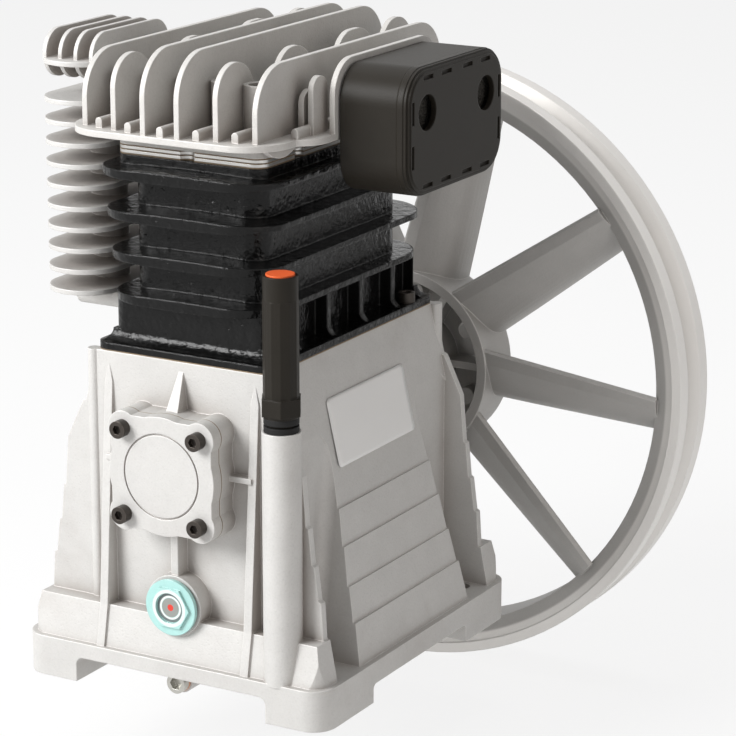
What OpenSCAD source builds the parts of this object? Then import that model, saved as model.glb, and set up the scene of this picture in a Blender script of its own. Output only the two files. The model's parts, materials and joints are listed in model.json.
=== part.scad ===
// Twin-cylinder belt-driven air compressor pump head.
// Millimetres. +X is the air filter side, -Y the bearing cover, +Z up.
// The origin is on the base plane, at the centre of the four foot bolts.

/* [Crankcase] */
// Width across the feet
base_w = 203; // [196:1:216]
// How far the feet stand out past the front and rear walls
foot_out = 18; // [15:0.5:22]
// Height of the plinth
plinth_h = 24; // [22:0.5:28]
// Corner radius of the feet, seen from above
foot_r = 14; // [6:1:18]
// Width of the arch between the feet, front and rear
arch_w = 128; // [100:1:134]
// Height of the front and rear arch
arch_h = 15; // [10:0.5:16]
// Length of the arch between the feet at each side
side_arch_w = 112; // [80:1:120]
// Height of the side arches
side_arch_h = 11; // [8:0.5:14]
// Distance between the foot bolts across the width
foot_bolt_x = 168; // [160:1:172]
// How far the foot bolts stand in from the front and rear walls
foot_bolt_in = 12.5; // [9:0.5:15]
// Diameter of the foot bolt holes
foot_hole_d = 11; // [9:0.5:13]
// Radius of the wrench recess over each foot bolt
recess_r = 17; // [14:0.5:18]
// Height of the shoulder above the plinth
shoulder_h = 24; // [18:1:30]
// How far the shoulder stands in from the plinth's edge
shoulder_in = 3.5; // [2:0.5:6]
// How far the shoulder leans in over its height
shoulder_lean = 5; // [2:0.5:7]
// Height of the crank axis above the base
crank_h = 135.3; // [132:0.1:138]
// Height of the case's top face above the crank axis
case_rise = 60.9; // [56:0.1:68]
// Width of the case at its top face
case_w = 116; // [112:1:122]
// Depth of the case, front wall to rear wall
case_d = 189; // [186:1:196]
// Wall thickness of the crankcase
wall_t = 7; // [5:0.5:8]
// How far each side spreads from the top face to the base
side_spread = 45; // [40:1:46]
// Depth of the small steps down the sides
side_step = 1.1; // [0.5:0.1:2.5]
// How far the wrench recesses lean towards the middle, in degrees
recess_lean = 7.9; // [0:0.1:9]
// Thickness of the ribs on the crankcase
case_rib_t = 4.5; // [3:0.5:6]
// How far the front gussets stand out at their foot
gusset_out = 14; // [8:1:17]
// Spacing of the two front gussets
gusset_pitch = 97; // [90:1:104]
// Thickness of the front gussets
gusset_t = 5.2; // [4:0.2:6]
// Radius of the slim pillars at the case's corners
pillar_r = 3.8; // [3:0.1:4]

/* [Cylinder block] */
// Cylinder bore diameter
bore_d = 60; // [56:0.5:62]
// Distance between the two cylinder axes
cyl_pitch = 78; // [76:1:82]
// Height of the cylinder block
block_h = 111.3; // [108:0.1:116]
// Width of the block's base flange
block_base_w = 116; // [110:1:120]
// Thickness of the block's base flange
block_base_t = 4; // [3:0.5:6]
// How far the lower block stands back from the flange's front and rear edges
lower_back = 8.5; // [7.5:0.5:11]
// Radius of the hollow rounds between the flange and the lower block
lower_round = 7; // [4:0.5:7.4]
// Wall outside the bores, front and rear
barrel_t = 9; // [7:0.5:12]
// Wall outside the bores, left and right
barrel_side_t = 13; // [9:0.5:14]
// Corner radius of the column that holds the bores
column_r = 12; // [8:0.5:16]
// Number of cooling fins on the block
block_fins = 4; // [2:1:4]
// Distance from fin to fin
block_fin_pitch = 24; // [20:0.5:24]
// Width of the top fin
block_fin_w = 116; // [110:1:124]
// Depth of the top fin
block_fin_d = 201; // [190:1:206]
// Corner radius of the fins
block_fin_r = 26; // [16:1:30]
// Thickness of a fin at its middle
block_fin_t = 6.4; // [4:0.2:8]
// Thickness that a fin loses towards its sides
block_fin_taper = 3; // [1:0.2:3.4]
// How much narrower each fin is than the one above
block_fin_shrink = 1.6; // [0:0.2:3]
// Thickness of the deck under the valve plates
deck_t = 5; // [4:0.5:6]

/* [Cylinder head] */
// Thickness of each gasket
gasket_t = 0.7; // [0.4:0.1:1.2]
// Thickness of each valve plate
valve_plate_t = 1.7; // [1.2:0.1:3]
// Width of the valve plates
plate_w = 96.4; // [95:0.2:100]
// Land of the valve plates outside the bores, front and rear
plate_land = 15.5; // [14:0.5:18]
// Corner radius of the valve plates
plate_r = 8; // [5:0.5:9]
// Height of the head's lower body
head_body_h = 8.8; // [6:0.2:12]
// Thickness of the head's broad plate
head_plate_t = 3.6; // [3:0.2:6]
// Width of the head's broad plate
head_plate_w = 135; // [130:1:140]
// Depth of the head's broad plate
head_plate_d = 226; // [222:1:230]
// Corner radius of the head's broad plate
head_plate_r = 27; // [15:1:32]
// Distance from the head's middle to its intake face
intake_x = 77.5; // [74:0.5:80]
// Thickness of the head's fins
head_fin_t = 3.2; // [2.4:0.1:4]
// Distance from fin to fin
head_fin_pitch = 22; // [21:0.5:23]
// Height of the inner fins above the broad plate
head_fin_h = 45.5; // [40:0.5:50]
// How much lower the outer fins are than the inner ones
head_fin_drop = 5; // [2:0.5:8]
// Corner radius of the tall fins
head_fin_r = 26; // [16:1:30]
// How much farther back the outer fins start
head_fin_back = 9; // [4:0.5:14]
// Diameter of the screw towers
tower_d = 16.6; // [14:0.2:17.6]
// Height of the screw towers above the broad plate
tower_h = 27.5; // [22:0.5:32]
// Distance of the screw rows from the plates' front and rear edges
screw_edge = 7.5; // [6.5:0.1:8]
// Distance of the outer screws from the plates' side edges
screw_edge_x = 6.2; // [5.5:0.1:7]
// Nominal diameter of the head screws
head_screw_d = 6; // [5:0.5:6.5]

/* [Front bearing cover] */
// Distance between the cover's screws
cover_pitch = 50; // [48:0.5:54]
// Radius of the cover at each screw
cover_lug_r = 9.8; // [8:0.2:11]
// Radius of the cover's round middle
cover_r = 34.6; // [33:0.2:36]
// Thickness of the cover
cover_t = 8; // [6:0.5:10]
// How far the cover's boss stands out of the wall
cover_boss_h = 13.3; // [11:0.1:16]
// Outer diameter of the front bearing
front_bearing_d = 52; // [50:1:54]
// Width of the front bearing
front_bearing_w = 15; // [13:0.5:16]
// Nominal diameter of the cover screws
cover_screw_d = 6; // [5:0.5:6.5]

/* [Rear bearing carrier] */
// Outer diameter of the rear bearing
rear_bearing_d = 62; // [60:1:64]
// Width of the rear bearing
rear_bearing_w = 16; // [14:0.5:18]
// Diameter of the carrier's flange
carrier_d = 104; // [102:1:108]
// Thickness of the carrier's flange
carrier_t = 8; // [6:0.5:10]
// Pitch circle of the carrier's screws
carrier_pcd = 86; // [84:1:88]
// Outer diameter of the shaft seal
seal_d = 47; // [45:1:50]
// Width of the shaft seal
seal_w = 7; // [6:0.5:8]

/* [Oil fittings] */
// Height of the sight glass's centre above the base
sight_z = 56; // [52:1:58]
// Diameter of the sight glass
sight_d = 33; // [28:0.5:34]
// Diameter of the lug round the sight glass
sight_boss_d = 36; // [35:0.5:40]
// How far the sight glass lug stands out of the wall
sight_boss_h = 11.5; // [10:0.5:14]
// Thickness of the sight glass
sight_t = 4; // [3:0.5:6]
// Height of the drain plug's axis above the base
drain_z = 8.7; // [8.2:0.1:9.5]
// Diameter of the drain plug's head
drain_d = 13; // [11:0.5:13.5]
// Distance of the filler's axis from the middle
filler_x = 70; // [69.5:0.5:74]
// Diameter of the filler boss
filler_boss_d = 22; // [20:0.5:24]
// Height of the filler boss above the base
filler_boss_h = 169; // [160:1:174]
// Diameter of the filler tube
filler_d = 20; // [18:0.5:22]
// Length of the filler tube above its collar
filler_h = 68; // [60:1:76]
// Width across the flats of the filler's collar
filler_hex = 21; // [20:0.5:24]

/* [Cooler] */
// Distance of the cooler's pipe from the head's middle
cooler_x = 88; // [87:0.5:92]
// Distance of the cooler's pipe in front of the head's middle
cooler_y = 32.5; // [30:0.5:35]
// Number of cooler plates below the top one
cooler_plates = 10; // [6:1:10]
// Distance from plate to plate
cooler_pitch = 12.2; // [11:0.1:12.4]
// Width of a cooler plate
cooler_w = 44; // [40:1:46]
// Length of a cooler plate
cooler_l = 92; // [84:1:98]
// Thickness of a cooler plate
cooler_t = 2.8; // [2:0.2:3.4]
// Diameter of the cooler's pipe
cooler_pipe_d = 21; // [19:0.5:24]
// Height of the fins on the cooler's top plate
cooler_fin_h = 15.5; // [10:0.5:20]
// Diameter of the threaded air outlet under the cooler
outlet_d = 12; // [10:0.5:13]
// Depth of the threaded air outlet
outlet_depth = 14; // [11:0.5:16]
// Reach of the outlet from the cooler's pipe, towards the left
outlet_reach = 20; // [17:0.5:21]

/* [Air filter] */
// Depth of the filter housing, front to rear
filter_d = 111; // [106:1:116]
// Height of the filter housing
filter_h = 71; // [68:1:76]
// Width of the filter's body
filter_body_w = 35; // [32:1:40]
// Width of the filter's cover
filter_cover_w = 7.2; // [6:0.2:10]
// Corner radius of the filter housing
filter_r = 20; // [14:1:24]
// Wall of the filter housing
filter_wall = 2.6; // [2:0.2:3.4]
// Diameter of the two air inlets
inlet_d = 20; // [16:0.5:22]
// Distance between the two air inlets
inlet_pitch = 68; // [62:1:70]

/* [Crank, rods and pistons] */
// Piston stroke
stroke = 50; // [46:1:52]
// Gap between a piston at the top of its stroke and the valve plate's gasket
crown_gap = 0.8; // [0.5:0.1:1.5]
// Diameter of the crank pins
crankpin_d = 22; // [20:0.5:24]
// Diameter of the crankshaft in the front bearing
front_journal_d = 25; // [22:0.5:27]
// Diameter of the crankshaft in the rear bearing
rear_journal_d = 30; // [29:0.5:32]
// Thickness of each crank web
web_t = 12; // [10:0.5:14]
// Radius of the counterweights
weight_r = 40; // [36:1:42]
// Width of the rods at the crank pin
big_end_w = 18; // [16:0.5:19]
// Diameter of the gudgeon pins
gudgeon_d = 16; // [14:0.5:18]
// Height of a piston above its gudgeon pin
crown_h = 29; // [26:0.5:29.5]
// Height of a piston below its gudgeon pin
skirt_h = 19; // [16:0.5:21]
// Radial clearance of a running fit
running_fit = 0.05; // [0.02:0.01:0.08]

/* [Flywheel] */
// Outer diameter of the flywheel
wheel_d = 384.8; // [370:0.1:390]
// Width of the flywheel's rim
wheel_w = 39; // [36:0.5:44]
// Gap from the rear wall of the case to the rim
wheel_gap = 63; // [58:1:70]
// Thickness of the rim from its bore to its rim
rim_t = 18.4; // [16:0.2:20]
// Width of the belt groove at its mouth
groove_w = 18; // [15:0.5:19]
// Depth of the belt groove
groove_h = 12; // [9:0.5:12.4]
// Number of fan blades
blades = 9; // [5:1:11]
// Thickness of a fan blade
blade_t = 5; // [4:0.2:6]
// Angle from a blade's tip to its root, seen from the front
blade_sweep = 15; // [5:1:20]
// How far a blade turns back at the rim, along the rim
blade_twist_rim = 23.5; // [15:0.5:28]
// How far a blade turns back at the hub, along the hub
blade_twist_hub = 34; // [24:0.5:36]
// Diameter of the hub's drum
drum_d = 120; // [110:1:130]
// Depth of the hub's drum
drum_w = 34.5; // [30:0.5:36]
// Diameter of the hub's inner boss
hub_d = 52; // [46:1:56]
// Diameter of the shaft in the flywheel
shaft_d = 28; // [26:0.5:28.6]

/* [Hidden] */
$fn = 64;

// Overrun of every cut past the face it opens
over = 1;
// Roots by which added material enters what carries it
root = 1.5;
// Gap between pieces that move past each other with no fit
free_gap = 0.4;

// Case height, and the heights of the stack from the case to the head
case_h = crank_h + case_rise;
block_z = case_h + gasket_t;
deck_z = block_z + block_h;
lower_plate_z = deck_z + gasket_t;
upper_plate_z = lower_plate_z + valve_plate_t + gasket_t;
head_gasket_z = upper_plate_z + valve_plate_t;
head_z = head_gasket_z + gasket_t;
head_plate_z = head_z + head_body_h;
head_top_z = head_plate_z + head_plate_t;

// Front and rear places along the crank axis
base_d = case_d + 2 * foot_out;
foot_bolt_y = case_d - 2 * foot_bolt_in;
front_y = -case_d / 2;
rear_y = case_d / 2;
cover_boss_y = front_y - cover_boss_h;
cover_back_y = cover_boss_y - gasket_t;
cover_face_y = cover_back_y - cover_t;
carrier_y = rear_y + gasket_t;
wheel_y = rear_y + wheel_gap;

// Side of the case: half width at a height, and the heights of its steps
case_slope = side_spread / case_h;
function side_x(z) = case_w / 2 + (case_h - z) * case_slope;
side_step_share = [0.566, 0.459, 0.347];
rib_edge_share = [
    [0.00, 1.00], [0.00, 0.86], [0.20, 0.84], [0.45, 0.72], [0.50, 0.575], [0.535, 0.57],
    [0.58, 0.465], [0.615, 0.46], [0.67, 0.36], [0.71, 0.355], [0.74, 0.245]
];
shoulder_z = plinth_h + shoulder_h;
floor_z = plinth_h;

// Wrench recess: where its foot and its arched top stand, and its inner corner
recess_foot_y = foot_bolt_y / 2 - recess_r;
recess_arch_z = plinth_h + (case_h - plinth_h) * 0.66;
recess_arch_r = recess_r * 1.3;
recess_corner_r = recess_r * 0.45;
panel_half_d = recess_foot_y - (recess_arch_z - plinth_h) * tan(recess_lean);

// Crank throw and the places of the two cylinders
throw = stroke / 2;
cyl_y_share = [-0.5, 0.5];
rod_l = deck_z - crown_gap - crown_h - throw - crank_h;
bore_r = bore_d / 2;
piston_r = bore_r - running_fit;

// Bearings, carrier and the shaft's far end
spigot_l = 4;
front_bearing_y = cover_back_y + spigot_l;
rear_bearing_y = carrier_y - rear_bearing_w;
carrier_tube_r = rear_bearing_d / 2 + wall_t * 0.8;
hub_y0 = wheel_y - wall_t * 2;
hub_y1 = wheel_y + drum_w + root;
web_side_gap = 1;
key_w = shaft_d * 0.28;
key_h = key_w * 0.9;
key_l = drum_w * 0.8;
bolt_d = shaft_d * 0.43;
bolt_l = shaft_d;
washer_t = bolt_d * 0.3;

// Lower block, its side cells and the plates over the block
lower_half_w = block_base_w / 2 - lower_round;
lower_half_d = case_d / 2 - lower_back;
cell_pitch = lower_half_d * 0.43;
plate_d = cyl_pitch + bore_d + 2 * plate_land;
screw_row_y = plate_d / 2 - screw_edge;
screw_row_x = plate_w / 2 - screw_edge_x;

// Screws whose sizes follow the casting that holds them
block_screw_d = 6;
block_screw_grip = wall_t * 1.6;
block_screw_x = block_base_w / 2 - block_screw_d * 0.92;
block_screw_y = (1.5 * cell_pitch + lower_half_d - case_rib_t / 2) / 2;
cover_screw_grip = 14;
cover_screw_l = cover_t + cover_screw_grip;
carrier_screw_d = 6;
carrier_screw_l = carrier_t + wall_t * 0.9;
head_screw_grip = 9;
head_screw_sink = 10;
cover_groove = 1;
cover_dip = 1.6;

// Valves
notch_r = 5;
chamber_x = 15;
chamber_w = 22;
chamber_d = 52;
chamber_r = 6;
port_d = 9;
port_pitch = 14;
reed_t = 0.3;
reed_w = 14;
reed_l = 40;
valve_stop_t = 2.4;

// Intake, discharge branch and cooler flange
port_rise = 15;
port_z = head_top_z + port_rise;
intake_port_r = 9;
discharge_port_r = 5;
branch_r = 7.5;
branch_x = head_plate_w / 2;
branch_bolt_pitch = 34;
branch_lug_r = 6.5;
branch_screw_d = 6;
flange_t = 6;
cooler_branch_h = 11;
outlet_wall = 2.5;

// Filter
filter_x = intake_x + 1.5;
filter_joint_x = filter_x + filter_body_w;
filter_y = 2;
filter_z = head_top_z + 1.5;
filter_screw_d = 5;
inlet_z = 10.5;
slot_w = 2.4;
slot_depth = 1.5;

// Oil fittings
sight_seat_y = front_y - sight_boss_h;
sight_seal_t = 1.2;
sight_thread_d = sight_d * 0.7;
drain_seat_y = front_y - shoulder_lean;
drain_thread_d = drain_d * 0.62;
drain_head_t = 5;
filler_y = front_y - filler_boss_d * 0.355;
filler_stem_d = filler_d * 0.75;
filler_stem_l = 18;
filler_seal_t = 3.4;
filler_collar_h = 10;
filler_cap_t = 3;

// Rods, rings and the fan blades
rod_bolt_d = 5;
rod_bolt_x = crankpin_d / 2 + rod_bolt_d;
big_r = crankpin_d * 0.82;
rod_reach = big_r * 0.55;
ring_h = 2;
ring_w = 3;
blade_r0 = drum_d / 2 - root;
blade_r1 = wheel_d / 2 - rim_t + root;

// A rectangle with true round corners
module rounded_rect(w, h, r) {
    square([w - 2 * r, h], center = true);
    square([w, h - 2 * r], center = true);
    for (x = [-1, 1], y = [-1, 1]) translate([x * (w / 2 - r), y * (h / 2 - r)]) circle(r);
}

// A rectangle that stands on the line y = 0 with round upper corners
module arched_rect(x0, x1, h, r) {
    translate([x0, 0]) square([x1 - x0, h - r]);
    translate([x0 + r, 0]) square([x1 - x0 - 2 * r, h]);
    for (x = [x0 + r, x1 - r]) translate([x, h - r]) circle(r);
}

// Extrusion of an X-Z outline from y0 to y1
module along_y(y0, y1) {
    translate([0, y1, 0]) rotate([90, 0, 0]) linear_extrude(y1 - y0) children();
}

// Extrusion of a Y-Z outline from x0 to x1
module along_x(x0, x1) {
    translate([x0, 0, 0]) rotate([90, 0, 90]) linear_extrude(x1 - x0) children();
}

// Extrusion of an X-Y outline from z0 to z1
module along_z(z0, z1) {
    translate([0, 0, z0]) linear_extrude(z1 - z0) children();
}

// Round bar along Y
module bar_y(r, y0, y1) {
    translate([0, y1, 0]) rotate([90, 0, 0]) cylinder(h = y1 - y0, r = r);
}

// Round bar along X
module bar_x(r, x0, x1) {
    translate([x0, 0, 0]) rotate([0, 90, 0]) cylinder(h = x1 - x0, r = r);
}

// Round bar along Z, h long, from z0 up
module bar_z(r, z0, h) {
    translate([0, 0, z0]) cylinder(h = h, r = r);
}

// Socket head screw along -Z with its head above z = 0
module socket_screw(d, length) {
    head_r = d * 0.83;
    difference() {
        union() {
            cylinder(h = d, r = head_r);
            bar_z(d / 2, -length, length + root);
        }
        translate([0, 0, d * 0.5]) cylinder(h = d, r = d * 0.48, $fn = 6);
    }
}

// Hexagon screw along -Z with its head above z = 0
module hex_screw(d, length) {
    cylinder(h = d * 0.65, r = d * 0.95, $fn = 6);
    bar_z(d / 2, -length, length + root);
}

// Places that repeat at the four corners of a rectangle
module four_corners(half_x, half_y) {
    for (x = [-1, 1], y = [-1, 1]) translate([x * half_x, y * half_y, 0]) children();
}

// Crankcase

// Stepped outline of the case's side panels, seen from the front
module side_outline(inset) {
    right = [
        [side_x(case_h) - inset, case_h],
        for (s = side_step_share) each [
            [side_x(s * case_h) - inset - side_step, s * case_h],
            [side_x(s * case_h) - inset, s * case_h]
        ],
        [side_x(plinth_h) - inset - side_step, plinth_h],
        [side_x(plinth_h) - inset - side_step, plinth_h - root]
    ];
    left = [for (i = [len(right) - 1:-1:0]) [-right[i][0], right[i][1]]];
    polygon(concat(right, left));
}

// Stepped outline of the end walls, whose edges stand past the panels as ribs
module end_outline() {
    right = [
        for (s = rib_edge_share) [case_w / 2 + s[0] * side_spread, s[1] * case_h],
        [side_x(plinth_h) - side_step, plinth_h - root]
    ];
    left = [for (i = [len(right) - 1:-1:0]) [-right[i][0], right[i][1]]];
    polygon(concat(right, left));
}

module shoulder() {
    half_x = base_w / 2 - shoulder_in;
    half_y = base_d / 2 - shoulder_in;
    intersection() {
        along_y(-half_y, half_y) polygon([
            [-half_x, plinth_h - root], [half_x, plinth_h - root],
            [half_x - shoulder_lean, shoulder_z], [-half_x + shoulder_lean, shoulder_z]
        ]);
        along_x(-half_x, half_x) polygon([
            [-half_y, plinth_h - root], [half_y, plinth_h - root],
            [half_y - shoulder_lean, shoulder_z], [-half_y + shoulder_lean, shoulder_z]
        ]);
        along_z(0, case_h) rounded_rect(2 * half_x, 2 * half_y, foot_r - shoulder_in);
    }
}

// Wrench recess over a foot bolt, open towards the side, leaning in under an arched top
module wrench_recess() {
    reach = base_w / 2;
    r = recess_corner_r;
    intersection() {
        translate([foot_bolt_x / 2 - recess_r, recess_foot_y, plinth_h]) rotate([recess_lean, 0, 0])
            along_z(-recess_r, case_h) {
                translate([r, 0]) square([reach, reach]);
                translate([0, r]) square([reach, reach]);
                translate([r, r]) circle(r);
            }
        along_x(0, base_w) {
            translate([panel_half_d + recess_arch_r, recess_arch_z]) circle(recess_arch_r);
            translate([0, plinth_h]) square([reach, recess_arch_z - plinth_h]);
        }
        translate([0, 0, plinth_h]) cube([base_w, case_d / 2 - case_rib_t, case_h]);
    }
}

// Rib on the front wall: a side profile, cut to a front outline that is symmetric about x
module front_rib(x, w, profile, outline) {
    translate([x, 0, 0]) intersection() {
        along_x(-w / 2, w / 2) polygon(profile);
        along_y(-base_d / 2, 0) polygon([for (s = [-1, 1], i = [0:len(outline) - 1])
            let (p = outline[s < 0 ? i : len(outline) - 1 - i]) [s * p[0] * w / 2, p[1]]]);
    }
}

module front_gusset(x) {
    top_z = case_h - wall_t;
    front_rib(x, gusset_t, [
        [front_y + root, top_z], [front_y, top_z], [front_y - gusset_out * 0.78, shoulder_z],
        [front_y - gusset_out - root, plinth_h], [front_y + root, plinth_h]
    ], [[0.1, top_z], [1, top_z - 2 * gusset_t], [1, plinth_h]]);
}

module cover_outline() {
    rounded_rect(2 * (cover_r - cover_dip), 2 * (cover_r - cover_dip), cover_lug_r);
    circle(cover_r);
    for (x = [-1, 1], y = [-1, 1]) translate([x, y] * cover_pitch / 2) circle(cover_lug_r);
}

// Front of the case: cover boss, middle rib, cross ribs and sight glass lug
module case_front() {
    rib_out = front_y - cover_boss_h * 0.75;
    top_z = case_h - wall_t * 0.8;
    translate([0, 0, crank_h]) along_y(cover_boss_y, front_y + root) cover_outline();
    translate([0, 0, sight_z]) bar_y(sight_boss_d / 2, front_y - sight_boss_h, front_y + root);
    front_rib(0, case_rib_t * 1.7, [
        [front_y + root, top_z], [front_y, top_z],
        [rib_out, crank_h + cover_r], [rib_out, sight_z], [front_y + root, sight_z]
    ], [[0.4, top_z], [1, crank_h + cover_r], [0.6, crank_h], [0.6, sight_z]]);
    translate([0, 0, crank_h]) along_y(rib_out + case_rib_t, front_y + root)
        square([gusset_pitch, case_rib_t * 0.7], center = true);
    for (x = [-1, 1]) front_gusset(x * gusset_pitch / 2);
}

module case_top_opening() {
    rounded_rect(plate_w - wall_t, cyl_pitch + bore_d + wall_t, wall_t);
}

// Room inside the case for the crank and the rods
module case_cavity() {
    wide_half_d = panel_half_d - wall_t;
    narrow_half_d = case_d / 2 - wall_t;
    narrow_w = foot_bolt_x - 2 * recess_r - 2 * wall_t;
    top_w = plate_w - wall_t;
    intersection() {
        along_y(-narrow_half_d, narrow_half_d) polygon([
            [-narrow_w / 2, floor_z], [narrow_w / 2, floor_z],
            [narrow_w / 2, crank_h], [top_w / 2, case_h - 2 * wall_t], [top_w / 2, case_h + over],
            [-top_w / 2, case_h + over], [-top_w / 2, case_h - 2 * wall_t], [-narrow_w / 2, crank_h]
        ]);
        union() {
            along_z(0, case_h - 2 * wall_t) square(2 * narrow_half_d, center = true);
            along_z(0, case_h + over) case_top_opening();
        }
    }
    intersection() {
        along_y(-wide_half_d, wide_half_d) side_outline(wall_t + side_step);
        along_z(floor_z, case_h - 4 * wall_t) square([base_w, base_d], center = true);
    }
}

// Tunnel under the case, open below
module arch_outline(w, h) {
    arched_rect(-w / 2, w / 2, h, h * 0.3);
    translate([-w / 2, -over]) square([w, h * 0.3]);
}

module drain_lug() {
    lug_r = drain_d / 2 + root / 2;
    along_y(drain_seat_y, drain_seat_y + recess_r) {
        translate([0, drain_z]) circle(lug_r);
        translate([-lug_r, drain_z]) square([2 * lug_r, arch_h - drain_z + root]);
    }
}

module crankcase() {
    color("silver") difference() {
        union() {
            difference() {
                union() {
                    along_z(0, plinth_h) rounded_rect(base_w, base_d, foot_r);
                    shoulder();
                    along_y(-case_d / 2, case_d / 2) side_outline(0);
                }
                for (x = [0, 1], y = [0, 1]) mirror([x, 0, 0]) mirror([0, y, 0]) wrench_recess();
            }
            for (y = [0, 1]) mirror([0, y, 0]) along_y(front_y, front_y + case_rib_t) end_outline();
            four_corners(case_w / 2 + pillar_r / 2, case_d / 2 - pillar_r * 0.6)
                along_z(plinth_h, case_h) circle(pillar_r);
            case_front();
            translate([filler_x, filler_y, plinth_h - root])
                cylinder(h = filler_boss_h - plinth_h + root, r = filler_boss_d / 2);
        }
        difference() {
            union() {
                along_y(-base_d, base_d) arch_outline(arch_w, arch_h);
                along_x(-base_w, base_w) arch_outline(side_arch_w, side_arch_h);
            }
            drain_lug();
        }
        case_cavity();
        translate([0, 0, crank_h]) bar_y(front_bearing_d / 2, cover_boss_y - over, 0);
        translate([0, 0, crank_h]) bar_y(carrier_tube_r, 0, rear_y + over);
        four_corners(foot_bolt_x / 2, foot_bolt_y / 2)
            bar_z(foot_hole_d / 2, -over, plinth_h + 2 * over);
        block_screw_places() bar_z(block_screw_d / 2, case_h - block_screw_grip, block_screw_grip + over);
        cover_screw_places() bar_z(cover_screw_d / 2, -cover_screw_l, cover_screw_l);
        carrier_screw_places() bar_z(carrier_screw_d / 2, -carrier_screw_l, carrier_screw_l);
        translate([0, 0, sight_z])
            bar_y(sight_thread_d / 2, front_y - sight_boss_h - over, front_y + wall_t * 2);
        translate([0, 0, drain_z])
            bar_y(drain_thread_d / 2, drain_seat_y - over, drain_seat_y + recess_r - root);
        translate([filler_x, filler_y, filler_boss_h - filler_stem_l - over])
            cylinder(h = filler_stem_l + 2 * over, r = filler_stem_d / 2 + running_fit);
        translate([filler_x, filler_y, filler_boss_h])
            cylinder(h = case_h, r = filler_hex / 2 / cos(30) + free_gap);
    }
}

module case_gasket() {
    color("saddlebrown") difference() {
        along_z(case_h, block_z) block_base_outline();
        along_z(case_h - over, block_z + over) case_top_opening();
        block_screw_places() bar_z(block_screw_d / 2, case_h - over, gasket_t + 2 * over);
    }
}

// Cylinder block

module block_screw_places() {
    four_corners(block_screw_x, block_screw_y) children();
}

module block_base_outline() {
    rounded_rect(block_base_w, case_d, plate_r);
}

// Side cells of the lower block, between its webs and its end walls
module cell_outline() {
    intersection() {
        square([2 * block_base_w, 2 * (lower_half_d - case_rib_t)], center = true);
        for (x = [-1, 1], i = [-2:2])
            translate([x * (bore_d / 2 + barrel_side_t + block_base_w / 2), i * cell_pitch])
                square([block_base_w, cell_pitch - case_rib_t], center = true);
    }
}

// Base flange and lower block, joined by hollow rounds
module lower_block(top_z) {
    z = block_z + block_base_t;
    r = lower_round;
    dip = r * 0.03;
    difference() {
        union() {
            along_z(block_z, top_z) rounded_rect(2 * lower_half_w, 2 * lower_half_d, plate_r);
            difference() {
                along_z(z - root, z + r - dip)
                    rounded_rect(2 * (lower_half_w + r), 2 * (lower_half_d + r), plate_r);
                for (s = [-1, 1]) {
                    translate([s * (lower_half_w + r - dip), 0, z + r - dip]) bar_y(r, -case_d, case_d);
                    translate([0, s * (lower_half_d + r - dip), z + r - dip]) bar_x(r, -case_d, case_d);
                }
            }
        }
        along_z(z, top_z + over) cell_outline();
    }
    along_z(block_z, z) block_base_outline();
}

// Steps round the two large cylinders that bound a fin
bow_steps = 720;

// Cooling fin that thins towards its sides, between two shallow cylinders
module block_fin(z, w, d) {
    rise = block_fin_taper / 2;
    bow_r = (w * w / 4 + rise * rise) / (2 * rise);
    intersection() {
        along_z(z - block_fin_t, z + block_fin_t) rounded_rect(w, d, block_fin_r);
        translate([0, 0, z + block_fin_t / 2 - bow_r]) bar_y(bow_r, -d, d, $fn = bow_steps);
        translate([0, 0, z - block_fin_t / 2 + bow_r]) bar_y(bow_r, -d, d, $fn = bow_steps);
    }
}

module cylinder_block() {
    top_fin_z = deck_z - deck_t - block_fin_t / 2;
    low_fin_z = top_fin_z - (block_fins - 1) * block_fin_pitch;
    color([0.07, 0.07, 0.07]) difference() {
        union() {
            lower_block(low_fin_z);
            along_z(block_z, deck_z)
                rounded_rect(bore_d + 2 * barrel_side_t, cyl_pitch + bore_d + 2 * barrel_t, column_r);
            for (i = [0:block_fins - 1]) block_fin(top_fin_z - i * block_fin_pitch,
                block_fin_w - 2 * i * block_fin_shrink, block_fin_d - 2 * i * block_fin_shrink);
            along_z(deck_z - deck_t - root, deck_z) rounded_rect(plate_w, plate_d, plate_r);
        }
        for (s = cyl_y_share) translate([0, s * cyl_pitch, block_z - over])
            cylinder(h = block_h + 2 * over, r = bore_r);
        block_screw_places() translate([0, 0, block_z - over]) cylinder(h = block_base_t + 2 * over,
            r = block_screw_d / 2);
        head_screw_places() bar_z(head_screw_d / 2, deck_z - head_screw_grip, head_screw_grip + over);
    }
}

module block_screws() {
    color([0.1, 0.1, 0.1]) block_screw_places() translate([0, 0, block_z + block_base_t])
        socket_screw(block_screw_d, block_base_t + gasket_t + block_screw_grip * 0.9);
}

// Valve plates, reeds and gaskets

module head_screw_places() {
    for (x = [-1, -0.5, 0, 0.5, 1], y = [-1, 1]) translate([x * screw_row_x, y * screw_row_y, 0]) children();
    for (x = [-1, 1]) translate([x * screw_row_x, 0, 0]) children();
}

// A flat sheet with the outline of the valve plates and its screw holes
module plate_sheet(z0, z1) {
    difference() {
        along_z(z0, z1) difference() {
            rounded_rect(plate_w, plate_d, plate_r);
            for (x = [-1, 1], s = [-0.27, 0.27]) translate([x * plate_w / 2, s * plate_d]) circle(notch_r);
            for (y = [-1, 1]) translate([0, y * (plate_d / 2 + notch_r * 0.4)]) circle(notch_r);
        }
        head_screw_places() bar_z(head_screw_d / 2, z0 - over, z1 - z0 + 2 * over);
    }
}

// The four chambers over the plates: a suction and a discharge side for each cylinder
module chamber_outline(x_sign) {
    for (s = cyl_y_share) translate([x_sign * chamber_x, s * cyl_pitch])
        rounded_rect(chamber_w, chamber_d, chamber_r);
}

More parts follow.
